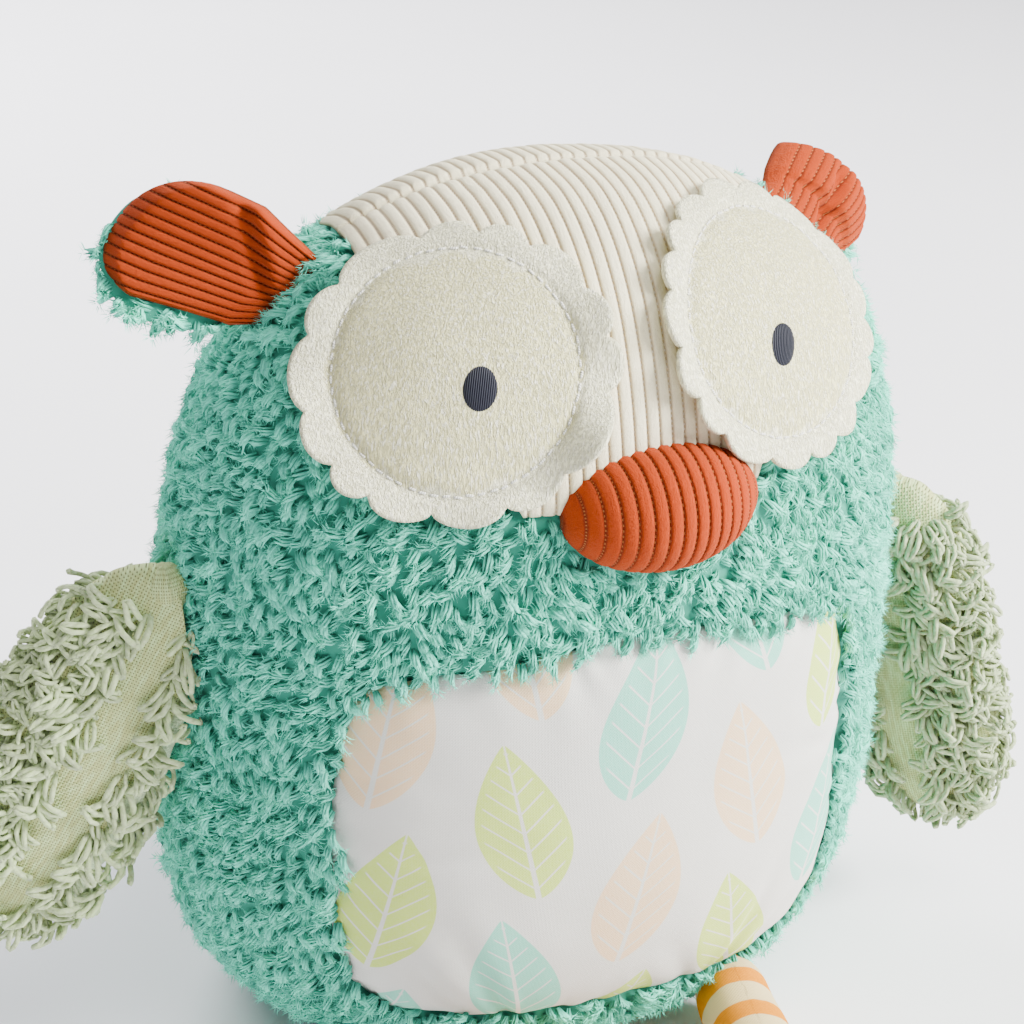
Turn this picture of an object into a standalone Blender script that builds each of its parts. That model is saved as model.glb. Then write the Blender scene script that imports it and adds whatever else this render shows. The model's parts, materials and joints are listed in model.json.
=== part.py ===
"""Plush owl: a stuffed egg-shaped body in sewn panels, felt eyes, a padded beak, ears, wings and legs.

Metres, +Z up. The owl faces -Y and stands on its base at the origin. Each sub-part is one object.
A panel is a stretch of the body's surface given a thickness and cut to its outline from in front.
"""

import math

import bmesh
import bpy
from mathutils import Matrix, Vector
from mathutils.bvhtree import BVHTree

# Running clearance between pieces that touch, and the wider one along a seam between two panels.
GAP = 0.0003
SEAM_GAP = 0.0006
OVERRUN = 0.15

# Body, measured over the pile.
BODY_WIDTH = 0.226
BODY_DEPTH = 0.180
BODY_HEIGHT = 0.264
BODY_LEAN = 0.036
BASE_CUT = 0.0005
BODY_SIDES = 16
# From the base up: height, width and depth of the cage, as shares of the body's own.
BODY_RING_SHARES = (
    (0.000, 0.00, 0.00),
    (0.000, 0.38, 0.40),
    (0.000, 0.68, 0.70),
    (0.050, 0.91, 0.93),
    (0.170, 1.02, 1.03),
    (0.335, 1.035, 1.01),
    (0.495, 1.01, 0.94),
    (0.650, 0.99, 0.90),
    (0.800, 0.90, 0.80),
    (0.925, 0.70, 0.62),
    (1.000, 0.36, 0.33),
    (1.010, 0.00, 0.00),
)

# Cloth thicknesses: the pile cloth with its pile, and the flat cloths.
PILE_CLOTH = 0.0060
FLAT_CLOTH = 0.0015
FELT = 0.0013
THREAD = 0.0007

# What is sewn to the body keeps its place on it: heights are shares of the body's height, sideways
# places are shares of its width, and the side seam's place is a share of its depth.

# Side seam: the plane where the front and back of the body are sewn together.
SIDE_SEAM_SHARE = -0.08333
SIDE_SEAM_Y = SIDE_SEAM_SHARE * BODY_DEPTH

# Belly panel, as heights and a half width seen from in front.
BELLY_TOP_SHARE = 0.5815
BELLY_BOTTOM_SHARE = 0.1135
BELLY_HALF_WIDTH_SHARE = 0.345
# Down one side of the panel: half width, and height between the bottom and the top.
BELLY_SIDE_SHARES = (
    (0.50, 0.96),
    (0.85, 0.91),
    (0.95, 0.80),
    (1.00, 0.48),
    (0.97, 0.18),
    (0.80, 0.03),
    (0.40, 0.00),
)

# Forehead panel: from the beak up between the eyes to the crown, and the panel behind the crown seam.
FOREHEAD_BOTTOM_SHARE = 0.72727
FOREHEAD_FOOT_HALF_WIDTH_SHARE = 0.14602
FOREHEAD_TOP_HALF_WIDTH_SHARE = 0.26549
FOREHEAD_CORNER_SHARE = 0.93561
CROWN_PANEL_DROP_SHARE = 0.06061

# Base panel, as a share of the body's width and depth.
BASE_PANEL_SHARE = 0.68

# Eyes: scalloped felt, a ring of stitching and an embroidered pupil.
EYE_X_SHARES = {"right": 0.20354, "left": 0.19248}
EYE_Z_SHARES = {"right": 0.86553, "left": 0.87311}
EYE_STITCH_RADIUS = 0.0306
EYE_HEM = 0.0052
SCALLOP_RISE = 0.0024
SCALLOPS = 19
PUPIL_X_SHARE = 0.18053
PUPIL_Z_SHARE = 0.85038
PUPIL_WIDTH = 0.0092
PUPIL_HEIGHT = 0.0112

# Beak.
BEAK_X_SHARE = 0.01770
BEAK_Z_SHARE = 0.72159
BEAK_WIDTH = 0.055
BEAK_HEIGHT = 0.031
BEAK_BULGE = 0.0130
BEAK_CLOTH = 0.0018

# Ears: rooted in the side seam. Each lies as it fell: swept back, and leaning down along the seam.
EAR_ROOT_X_SHARE = 0.34071
EAR_LENGTH = 0.041
EAR_WIDTH = 0.042
EAR_THICKNESS = 0.010
EAR_CUP = 0.007
EAR_LINING = 0.0025
EAR_LINING_START = 0.006
EAR_LINING_MARGIN = 0.0025
EAR_SWEEP_DEGREES = {"right": 30.0, "left": 70.0}
EAR_LEAN = {"right": 0.022, "left": 0.027}
# From the root to the tip: distance along, width and thickness.
EAR_SHARES = (
    (-0.12, 0.00, 0.00),
    (-0.09, 0.60, 0.80),
    (0.20, 0.85, 1.00),
    (0.60, 1.15, 1.05),
    (0.93, 0.75, 0.70),
    (1.01, 0.00, 0.00),
)
EAR_GROOVE_LENGTH_SHARE = 0.8
EAR_ROOT_THICKNESS_SHARE = 0.90

# Wings: a gathered round root in the side seam and the leaf that hangs from it.
WING_ROOT_Z_SHARES = {"right": 0.59848, "left": 0.56439}
WING_ROOT_RADIUS = 0.0085
# A cage of few faces has to be larger than the ball that subdivision makes of it.
WING_ROOT_CAGE_SHARE = 1.09
WING_LENGTH = 0.122
WING_WIDTH = 0.056
WING_THICKNESS = 0.015
WING_CLOTH = 0.0015
WING_STUFFING_GAP = 0.0005
WING_CLEARANCE = 0.0018
# Each wing lies as it fell: its heading behind the sideways direction, its droop below the level,
# and the turn of its broad face away from the front.
WING_HEADING_DEGREES = {"right": 16.0, "left": -12.0}
WING_DROOP_DEGREES = {"right": 60.0, "left": 77.0}
WING_TWIST_DEGREES = {"right": 0.0, "left": 33.0}
# From the root to the tip: distance along, width and thickness.
WING_SHARES = (
    (0.01, 0.00, 0.00),
    (0.03, 0.65, 0.80),
    (0.14, 1.02, 1.10),
    (0.47, 1.10, 1.15),
    (0.80, 1.05, 1.00),
    (0.97, 0.60, 0.60),
    (1.00, 0.00, 0.00),
)

# Legs: a round root in the lower front of the body, and a tube that lies forward on the table.
LEG_ROOT_X_SHARE = 0.17699
LEG_ROOT_Z = 0.0130
LEG_RADIUS = 0.0122
LEG_LENGTH = 0.112
LEG_FOOT_RADIUS = 0.0138
LEG_CLOTH = 0.0012
LEG_SEAT = 0.0035
LEG_OPENING_RADIUS = 0.0050
LEG_TOE_IN_DEGREES = 11.0
# Distance along and radius: around the root, in root radii, then down the tube, in lengths and foot radii.
LEG_ROOT_SHARES = ((-1.03, 0.00), (-0.80, 0.70), (0.10, 1.06), (0.90, 1.02))
LEG_TUBE_SHARES = ((0.50, 0.96), (0.84, 1.10), (0.98, 0.75), (1.01, 0.00))

SIDES = {"right": -1, "left": 1}


def collection_named(name):
    collection = bpy.data.collections.new(name)
    bpy.context.scene.collection.children.link(collection)
    return collection


def cloth_material(name, colour, roughness):
    material = bpy.data.materials.new(name)
    material.use_nodes = True
    shader = material.node_tree.nodes["Principled BSDF"]
    shader.inputs["Base Color"].default_value = (*colour, 1)
    shader.inputs["Roughness"].default_value = roughness
    shader.inputs["Metallic"].default_value = 0
    material.diffuse_color = (*colour, 1)
    return material


def as_part(obj, material):
    obj.data.materials.clear()
    obj.data.materials.append(material)
    obj.data.shade_smooth()
    PARTS.objects.link(obj)
    return obj


def as_cutter(obj):
    obj.hide_render = True
    obj.display_type = "WIRE"
    CUTTERS.objects.link(obj)
    return obj


def cut(obj, *cutters):
    for cutter in cutters:
        add_boolean(obj, "DIFFERENCE", cutter)


def keep_inside(obj, cutter):
    add_boolean(obj, "INTERSECT", cutter)


def add_boolean(obj, operation, cutter):
    modifier = obj.modifiers.new(f"{operation.lower()} {cutter.name}", "BOOLEAN")
    modifier.operation = operation
    modifier.object = cutter
    modifier.solver = "EXACT"
    modifier.use_self = True


def subdivide(obj):
    modifier = obj.modifiers.new("subdivision", "SUBSURF")
    modifier.levels = 1
    modifier.render_levels = 1


def move_surface(obj, distance):
    """Moves the surface outwards along its normals."""
    modifier = obj.modifiers.new("offset", "DISPLACE")
    modifier.strength = distance
    modifier.mid_level = 0


def thicken(obj, thickness):
    """Gives the surface a thickness, inwards."""
    modifier = obj.modifiers.new("thickness", "SOLIDIFY")
    modifier.thickness = thickness
    modifier.offset = -1
    modifier.use_even_offset = True


def soft_form(name, sides, stations, place, matrix=None, offset=0):
    """A closed swelling form: a ring of points for each station, which place puts, between two poles."""
    work = bmesh.new()
    last = len(stations) - 1
    bmesh.ops.create_uvsphere(work, u_segments=sides, v_segments=last, radius=1)
    for vertex in work.verts:
        height = max(-1, min(1, -vertex.co.z))
        ring = round(math.acos(height) / math.pi * last)
        angle = math.atan2(vertex.co.x, -vertex.co.y)
        vertex.co = place(stations[ring], angle)
    bmesh.ops.recalc_face_normals(work, faces=work.faces)
    obj = object_from(work, name)
    if matrix:
        obj.matrix_world = matrix
    subdivide(obj)
    if offset:
        move_surface(obj, offset)
    return obj


def object_from(work, name):
    mesh = bpy.data.meshes.new(name)
    work.to_mesh(mesh)
    work.free()
    return bpy.data.objects.new(name, mesh)


def body_form(name, offset):
    """The body's surface over the pile, moved outwards by offset."""

    def place(station, angle):
        height_share, width_share, depth_share = station
        half_width = width_share * BODY_WIDTH / 2
        half_depth = depth_share * BODY_DEPTH / 2
        forward = BODY_LEAN * (height_share - 0.5)
        height = height_share * BODY_HEIGHT - BASE_CUT
        return Vector((half_width * math.sin(angle), -forward - half_depth * math.cos(angle), height))

    return soft_form(name, BODY_SIDES, BODY_RING_SHARES, place, offset=offset)


def mesh_of(obj):
    """The object's evaluated mesh, as a new mesh."""
    bpy.context.view_layer.update()
    graph = bpy.context.evaluated_depsgraph_get()
    return bpy.data.meshes.new_from_object(obj.evaluated_get(graph))


def surface_tree(obj):
    work = bmesh.new()
    work.from_mesh(mesh_of(obj))
    tree = BVHTree.FromBMesh(work)
    work.free()
    return tree


def surface_point(origin, direction):
    """Where a ray meets the surface over the pile, and the outward normal there."""
    point, normal, _, _ = SURFACE.ray_cast(Vector(origin), Vector(direction))
    return point, normal


def smooth_loop(points, steps):
    """A closed Catmull-Rom curve through the points, with steps pieces between each two."""
    loop = []
    count = len(points)
    for index in range(count):
        before, start, end, after = (Vector(points[(index + k) % count]) for k in (-1, 0, 1, 2))
        for step in range(steps):
            t = step / steps
            bend = before * (-t + 2 * t**2 - t**3) + start * (2 - 5 * t**2 + 3 * t**3)
            loop.append((bend + end * (t + 4 * t**2 - 3 * t**3) + after * (t**3 - t**2)) / 2)
    return loop


def anticlockwise(loop):
    area = sum(a.x * b.y - a.y * b.x for a, b in zip(loop, loop[1:] + loop[:1]))
    return loop if area > 0 else loop[::-1]


def grown(loop, distance):
    """The closed anticlockwise loop moved outwards by distance."""
    moved = []
    count = len(loop)
    for index, point in enumerate(loop):
        along = (loop[(index + 1) % count] - loop[index - 1]).normalized()
        moved.append(point + distance * Vector((along.y, -along.x)))
    return moved


def ellipse(half_width, half_height, count):
    angles = [2 * math.pi * k / count for k in range(count)]
    return [Vector((half_width * math.cos(a), half_height * math.sin(a))) for a in angles]


def scalloped(radius, rise, scallops, points_each):
    loop = []
    count = scallops * points_each
    for k in range(count):
        angle = 2 * math.pi * k / count
        reach = radius + rise * math.sin(math.pi * (k % points_each) / points_each) ** 0.7
        loop.append(Vector((reach * math.cos(angle), reach * math.sin(angle))))
    return loop


def prism(name, loop, matrix, start, end, hole=None):
    """A cutter: the flat loop in the matrix's XY plane, reaching from start to end along its Z."""
    curve = bpy.data.curves.new(name, "CURVE")
    curve.dimensions = "2D"
    curve.fill_mode = "BOTH"
    curve.extrude = (end - start) / 2
    for outline in [loop] + ([hole] if hole else []):
        spline = curve.splines.new("POLY")
        spline.points.add(len(outline) - 1)
        for spot, point in zip(spline.points, outline):
            spot.co = (point.x, point.y, 0, 1)
        spline.use_cyclic_u = True
    guide = bpy.data.objects.new(name + " guide", curve)
    CUTTERS.objects.link(guide)
    work = bmesh.new()
    work.from_mesh(mesh_of(guide))
    bpy.data.objects.remove(guide)
    bmesh.ops.remove_doubles(work, verts=work.verts, dist=GAP / 10)
    bmesh.ops.recalc_face_normals(work, faces=work.faces)
    obj = object_from(work, name)
    obj.matrix_world = matrix @ Matrix.Translation((0, 0, (start + end) / 2))
    return as_cutter(obj)


def front_prism(name, loop, start, end):
    """A prism drawn in X and Z that runs from y = start to y = end."""
    return prism(name, loop, Matrix.Rotation(math.radians(90), 4, "X"), -end, -start)


def block(name, low, high, matrix=None):
    """A box cutter between two corners."""
    work = bmesh.new()
    bmesh.ops.create_cube(work, size=1)
    middle = Vector([(a + b) / 2 for a, b in zip(low, high)])
    size = [b - a for a, b in zip(low, high)]
    bmesh.ops.scale(work, vec=size, verts=work.verts)
    bmesh.ops.translate(work, vec=middle, verts=work.verts)
    obj = object_from(work, name)
    if matrix:
        obj.matrix_world = matrix
    return as_cutter(obj)


def ball(name, centre, radius):
    """A ball cutter whose flats all lie outside the radius."""
    sides, rings = 12, 8
    reach = radius / (math.cos(math.pi / sides) * math.cos(math.pi / rings / 2))
    work = bmesh.new()
    bmesh.ops.create_uvsphere(work, u_segments=sides, v_segments=rings, radius=reach)
    obj = object_from(work, name)
    obj.location = centre
    return as_cutter(obj)


def rod(name, matrix, radius, length):
    """A round cutter along the matrix's X, whose flats lie outside the radius."""
    sides = 12
    work = bmesh.new()
    reach = radius / math.cos(math.pi / sides)
    bmesh.ops.create_cone(work, segments=sides, radius1=reach, radius2=reach, depth=length, cap_ends=True)
    obj = object_from(work, name)
    obj.matrix_world = matrix @ Matrix.Rotation(math.radians(90), 4, "Y")
    return as_cutter(obj)


def basis(origin, along_x, along_z):
    """A matrix at origin whose Z is along_z and whose X is the part of along_x square to it."""
    z = along_z.normalized()
    x = (along_x - along_x.dot(z) * z).normalized()
    matrix = Matrix((x, z.cross(x), z)).transposed().to_4x4()
    matrix.translation = origin
    return matrix


def panel(name, cloth, material):
    """A cloth over the whole body, lying on the stuffing, to be cut to its outline."""
    obj = body_form(name, cloth - PILE_CLOTH)
    thicken(obj, cloth)
    return as_part(obj, material)


def layer(name, lift, thickness, material):
    """A thin layer over the pile at the given lift, to be cut to its outline."""
    obj = body_form(name, lift + thickness)
    thicken(obj, thickness)
    return as_part(obj, material)


def belly_outline():
    top = BELLY_TOP_SHARE * BODY_HEIGHT
    bottom = BELLY_BOTTOM_SHARE * BODY_HEIGHT
    half_width = BELLY_HALF_WIDTH_SHARE * BODY_WIDTH
    side = [(half_width * w, bottom + (top - bottom) * h) for w, h in BELLY_SIDE_SHARES]
    points = [(0, top)] + side + [(0, bottom)] + [(-x, z) for x, z in reversed(side)]
    return anticlockwise(smooth_loop(points, 4))


def forehead_outline():
    """Seen from in front, and open to above the crown."""
    half_width = FOREHEAD_TOP_HALF_WIDTH_SHARE * BODY_WIDTH
    right = [
        (FOREHEAD_FOOT_HALF_WIDTH_SHARE * BODY_WIDTH, FOREHEAD_BOTTOM_SHARE * BODY_HEIGHT),
        (half_width, FOREHEAD_CORNER_SHARE * BODY_HEIGHT),
        (half_width, BODY_HEIGHT + OVERRUN),
    ]
    return anticlockwise([Vector(point) for point in right + [(-x, z) for x, z in reversed(right)]])


def base_outline():
    """Seen from above, under the middle of the body's foot."""
    loop = ellipse(BASE_PANEL_SHARE * BODY_WIDTH / 2, BASE_PANEL_SHARE * BODY_DEPTH / 2, 32)
    return [point + Vector((0, BODY_LEAN / 2)) for point in loop]


def make_stuffing():
    return as_part(body_form("body_stuffing", -PILE_CLOTH - GAP), STUFFING)


def make_belly():
    belly = panel("belly_panel", FLAT_CLOTH, COTTON)
    keep_inside(belly, front_prism("belly outline", belly_outline(), -OVERRUN, 0))
    return belly


def make_forehead():
    forehead = panel("forehead_panel", FLAT_CLOTH, CREAM_CORD)
    keep_inside(forehead, front_prism("forehead outline", forehead_outline(), -OVERRUN, SIDE_SEAM_Y))


def crown_block(name, margin):
    half = FOREHEAD_TOP_HALF_WIDTH_SHARE * BODY_WIDTH + margin
    bottom = (1 - CROWN_PANEL_DROP_SHARE) * BODY_HEIGHT - margin
    low = (-half, SIDE_SEAM_Y + SEAM_GAP - margin, bottom)
    return block(name, low, (half, OVERRUN, BODY_HEIGHT + OVERRUN))


def make_crown():
    crown = panel("crown_panel", FLAT_CLOTH, CREAM_CORD)
    keep_inside(crown, crown_block("crown outline", 0))


def make_front_cover(forehead_opening, base_opening):
    cover = panel("front_cover", PILE_CLOTH, PILE)
    top = BODY_HEIGHT + OVERRUN
    keep_inside(cover, block("front half", (-OVERRUN, -OVERRUN, -OVERRUN), (OVERRUN, SIDE_SEAM_Y, top)))
    cut(cover, front_prism("belly opening", grown(belly_outline(), SEAM_GAP), -OVERRUN, 0))
    cut(cover, forehead_opening, base_opening)
    return cover


def make_back_covers(base_opening):
    """Two halves, sewn to each other down the middle of the back."""
    crown_opening = crown_block("crown opening", SEAM_GAP)
    covers = []
    for side, sign in SIDES.items():
        across = sorted((sign * SEAM_GAP / 2, sign * OVERRUN))
        low = (across[0], SIDE_SEAM_Y + SEAM_GAP, -OVERRUN)
        high = (across[1], OVERRUN, BODY_HEIGHT + OVERRUN)
        cover = panel(f"back_cover_{side}", PILE_CLOTH, PILE)
        keep_inside(cover, block(f"back half {side}", low, high))
        cut(cover, base_opening, crown_opening)
        covers.append(cover)
    return covers


def make_base_cover():
    base = panel("base_cover", PILE_CLOTH, PILE)
    keep_inside(base, prism("base outline", base_outline(), Matrix(), -OVERRUN, BODY_HEIGHT / 4))
    cut(base, block("resting plane", (-OVERRUN, -OVERRUN, -OVERRUN), (OVERRUN, OVERRUN, 0)))
    return base


def make_eye(side, sign):
    reach = EYE_STITCH_RADIUS
    across = Vector((1, 0, 0))
    seen = (sign * EYE_X_SHARES[side] * BODY_WIDTH, -OVERRUN, EYE_Z_SHARES[side] * BODY_HEIGHT)
    centre, normal = surface_point(seen, (0, 1, 0))
    place = basis(centre, across, normal)
    felt = layer(f"eye_felt_{side}", GAP, FELT, FELT_CLOTH)
    outline = scalloped(EYE_STITCH_RADIUS + EYE_HEM, SCALLOP_RISE, SCALLOPS, 3)
    keep_inside(felt, prism(f"eye outline {side}", outline, place, -reach, reach))
    stitching = layer(f"eye_stitching_{side}", FELT + 2 * GAP, THREAD, CREAM_THREAD)
    ring, hole = (
        ellipse(EYE_STITCH_RADIUS + half, EYE_STITCH_RADIUS + half, 24) for half in (THREAD / 2, -THREAD / 2)
    )
    keep_inside(stitching, prism(f"stitch ring {side}", ring, place, -reach, reach, hole))
    seen = (sign * PUPIL_X_SHARE * BODY_WIDTH, -OVERRUN, PUPIL_Z_SHARE * BODY_HEIGHT)
    centre, normal = surface_point(seen, (0, 1, 0))
    place = basis(centre, across, normal)
    pupil = layer(f"pupil_{side}", FELT + 2 * GAP, THREAD, NAVY_THREAD)
    outline = ellipse(PUPIL_WIDTH / 2, PUPIL_HEIGHT / 2, 20)
    keep_inside(pupil, prism(f"pupil outline {side}", outline, place, -reach, reach))


def beak_form(name, matrix, offset):
    def place(share, angle):
        around = math.sqrt(1 - share**2)
        across = BEAK_WIDTH / 2 * around * math.sin(angle)
        up = -BEAK_HEIGHT / 2 * around * math.cos(angle)
        return Vector((across, up, -BEAK_BULGE * share))

    shares = [math.cos(math.pi * k / 5) for k in range(6)]
    return soft_form(name, 12, shares, place, matrix, offset)


def make_beak(forehead_opening):
    """A padded oval, half of it on the forehead and half on the pile below."""
    seen = (BEAK_X_SHARE * BODY_WIDTH, -OVERRUN, BEAK_Z_SHARE * BODY_HEIGHT)
    centre, normal = surface_point(seen, (0, 1, 0))
    matrix = basis(centre, Vector((1, 0, 0)), normal)
    cloth_top = as_cutter(body_form("flat cloth clearance", FLAT_CLOTH - PILE_CLOTH + 2 * GAP))
    pile_around = as_cutter(body_form("pile clearance below the forehead", GAP))
    cut(pile_around, forehead_opening)
    cover = as_part(beak_form("beak_cover", matrix, 0), RUST_CORD)
    thicken(cover, BEAK_CLOTH)
    stuffing = as_part(beak_form("beak_stuffing", matrix, -BEAK_CLOTH - GAP), STUFFING)
    cut(cover, pile_around, cloth_top)
    cut(stuffing, pile_around, cloth_top)


def ear_form(name, side, matrix, offset, start=0, margin=0, lift=0):
    """A leaf cupped to the front; the lining starts later, is narrower and lies in front by lift."""
    half = EAR_WIDTH / 2

    def place(station, angle):
        along, width, depth = station
        across = width * (half - margin) * math.sin(angle)
        swell = depth * EAR_THICKNESS / 2 * math.cos(angle)
        bend = EAR_CUP * (across / half) ** 2 + lift
        out = start + along * (EAR_LENGTH - start - margin)
        return Vector((across + EAR_LEAN[side] * (out / EAR_LENGTH), -swell - SIDES[side] * bend, out))

    return soft_form(name, 8, EAR_SHARES, place, matrix, offset)


def make_ear(side, sign, covers):
    """A cupped leaf of pile cloth lined with corduroy, rooted in the side seam."""
    above = (sign * EAR_ROOT_X_SHARE * BODY_WIDTH, SIDE_SEAM_Y, BODY_HEIGHT + OVERRUN)
    root, normal = surface_point(above, (0, 0, -1))
    normal = Vector((normal.x, 0, normal.z)).normalized()
    down = Vector((sign * normal.z, 0, -sign * normal.x))
    sweep = Matrix.Rotation(math.radians(EAR_SWEEP_DEGREES[side]) * -sign, 3, down)
    hinge = root + normal * (EAR_THICKNESS / 2 - PILE_CLOTH / 2)
    matrix = basis(hinge, down, sweep @ normal)
    as_part(ear_form(f"ear_back_{side}", side, matrix, 0), PILE)
    lining = ear_form(f"ear_lining_{side}", side, matrix, 0, EAR_LINING_START, EAR_LINING_MARGIN, EAR_LINING)
    as_part(lining, RUST_CORD)
    cut(lining, as_cutter(ear_form(f"ear back clearance {side}", side, matrix, GAP)))
    groove_radius = EAR_ROOT_THICKNESS_SHARE * EAR_THICKNESS / 2 + GAP
    groove = rod(f"ear groove {side}", matrix, groove_radius, EAR_GROOVE_LENGTH_SHARE * EAR_WIDTH)
    for cover in covers:
        cut(cover, groove)


def wing_form(name, matrix, offset):
    def place(station, angle):
        along, width, depth = station
        across = width * WING_WIDTH / 2 * math.sin(angle)
        return Vector((across, -depth * WING_THICKNESS / 2 * math.cos(angle), along * WING_LENGTH))

    return soft_form(name, 8, WING_SHARES, place, matrix, offset)


def make_wing(side, sign, covers):
    """A gathered round root in the side seam, and a leaf of two faces over stuffing."""
    beside = (sign * OVERRUN, SIDE_SEAM_Y, WING_ROOT_Z_SHARES[side] * BODY_HEIGHT)
    root, normal = surface_point(beside, (-sign, 0, 0))
    centre = root + normal * (WING_ROOT_RADIUS - PILE_CLOTH + 2 * GAP)
    shares = [math.cos(math.pi * k / 6) for k in range(7)]

    def place(share, angle):
        around = math.sqrt(1 - share**2)
        reach = WING_ROOT_CAGE_SHARE * WING_ROOT_RADIUS
        return reach * Vector((around * math.sin(angle), -around * math.cos(angle), -share))

    as_part(soft_form(f"wing_root_{side}", 8, shares, place, Matrix.Translation(centre)), SAGE)
    pocket = ball(f"wing pocket {side}", centre, WING_ROOT_RADIUS + GAP)
    for cover in covers:
        cut(cover, pocket)
    heading = math.radians(WING_HEADING_DEGREES[side])
    droop = math.radians(WING_DROOP_DEGREES[side])
    flat = Vector((sign * math.cos(heading), math.sin(heading), 0))
    along = flat * math.cos(droop) - Vector((0, 0, math.sin(droop)))
    chord = flat * math.sin(droop) + Vector((0, 0, math.cos(droop)))
    chord = Matrix.Rotation(math.radians(WING_TWIST_DEGREES[side]) * sign, 3, along) @ chord
    matrix = basis(centre, chord, along)
    socket = ball(f"wing socket {side}", centre, WING_ROOT_RADIUS + GAP)
    body_clearance = as_cutter(body_form(f"body beside the wing {side}", WING_CLEARANCE))
    stuffing = as_part(wing_form(f"wing_stuffing_{side}", matrix, -WING_CLOTH - WING_STUFFING_GAP), STUFFING)
    cut(stuffing, socket, body_clearance)
    for face, turn in (("front", -1), ("back", 1)):
        cover = as_part(wing_form(f"wing_{face}_{side}", matrix, 0), SAGE)
        thicken(cover, WING_CLOTH)
        near, far = sorted((turn * GAP / 2, turn * OVERRUN))
        low = (-OVERRUN, near, -OVERRUN)
        keep_inside(cover, block(f"wing half {face} {side}", low, (OVERRUN, far, OVERRUN), matrix))
        cut(cover, socket, body_clearance)


def leg_form(name, matrix, offset):
    """Stations are distances along the leg and radii: the round root, the tube and the foot."""
    stations = [(along * LEG_RADIUS, radius * LEG_RADIUS) for along, radius in LEG_ROOT_SHARES]
    stations += [(along * LEG_LENGTH, radius * LEG_FOOT_RADIUS) for along, radius in LEG_TUBE_SHARES]

    def place(station, angle):
        along, radius = station
        return Vector((radius * math.sin(angle), -radius * math.cos(angle), along))

    return soft_form(name, 8, stations, place, matrix, offset)


def make_leg(side, sign, pieces_around):
    """A striped tube over stuffing; its round end sits in the seam under the belly."""
    seen = (sign * LEG_ROOT_X_SHARE * BODY_WIDTH, -OVERRUN, LEG_ROOT_Z)
    root, normal = surface_point(seen, (0, 1, 0))
    centre = root + normal * (LEG_RADIUS - LEG_SEAT)
    centre.z = LEG_ROOT_Z
    pocket = ball(f"leg pocket {side}", centre, LEG_RADIUS + GAP)
    for piece in pieces_around:
        cut(piece, pocket)
    toe = math.radians(LEG_TOE_IN_DEGREES)
    drop = (centre.z - LEG_FOOT_RADIUS - GAP) / LEG_LENGTH
    along = Vector((-sign * math.sin(toe), -math.cos(toe), -drop))
    matrix = basis(centre, Vector((1, 0, 0)), along)
    cover = as_part(leg_form(f"leg_cover_{side}", matrix, 0), STRIPED)
    thicken(cover, LEG_CLOTH)
    root_end = centre - along.normalized() * LEG_RADIUS
    cut(cover, ball(f"leg opening {side}", root_end, LEG_OPENING_RADIUS))
    as_part(leg_form(f"leg_stuffing_{side}", matrix, -LEG_CLOTH - GAP), STUFFING)


for old in list(bpy.data.objects):
    bpy.data.objects.remove(old)

PARTS = collection_named("Plush owl")
CUTTERS = collection_named("Cutters")

STUFFING = cloth_material("polyester stuffing", (0.85, 0.85, 0.82), 1.0)
PILE = cloth_material("teal pile cloth", (0.20, 0.62, 0.52), 0.95)
COTTON = cloth_material("printed cotton", (0.85, 0.86, 0.80), 0.8)
CREAM_CORD = cloth_material("cream corduroy", (0.80, 0.72, 0.58), 0.9)
RUST_CORD = cloth_material("rust corduroy", (0.55, 0.12, 0.04), 0.9)
FELT_CLOTH = cloth_material("cream felt", (0.70, 0.68, 0.56), 1.0)
CREAM_THREAD = cloth_material("cream thread", (0.78, 0.76, 0.66), 0.8)
NAVY_THREAD = cloth_material("navy thread", (0.01, 0.012, 0.03), 0.6)
SAGE = cloth_material("sage cloth", (0.55, 0.62, 0.43), 0.9)
STRIPED = cloth_material("striped jersey", (0.80, 0.50, 0.20), 0.9)

SURFACE = surface_tree(as_cutter(body_form("surface over the pile", 0)))

FOREHEAD_OPENING = front_prism(
    "forehead opening", grown(forehead_outline(), SEAM_GAP), -OVERRUN, SIDE_SEAM_Y + SEAM_GAP
)
BASE_OPENING = prism("base opening", grown(base_outline(), SEAM_GAP), Matrix(), -OVERRUN, BODY_HEIGHT / 4)

STUFFED_BODY = make_stuffing()
COVERS = [make_front_cover(FOREHEAD_OPENING, BASE_OPENING), *make_back_covers(BASE_OPENING)]
LOWER_PIECES = [STUFFED_BODY, COVERS[0], make_base_cover(), make_belly()]
make_forehead()
make_crown()
make_beak(FOREHEAD_OPENING)
for SIDE, SIGN in SIDES.items():
    make_eye(SIDE, SIGN)
    make_ear(SIDE, SIGN, COVERS)
    make_wing(SIDE, SIGN, COVERS)
    make_leg(SIDE, SIGN, LOWER_PIECES)
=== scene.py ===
"""Looks of the plush owl: curly pile, printed cotton, corduroy, felt, looped wings and striped legs.

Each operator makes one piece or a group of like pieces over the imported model, in metres.
The owl faces -Y and its right side is at -X.
"""

import json
import math

import bpy
import numpy as np
from mathutils import Matrix, Vector, noise
from mathutils.bvhtree import BVHTree
from mathutils.interpolate import poly_3d_calc


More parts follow.
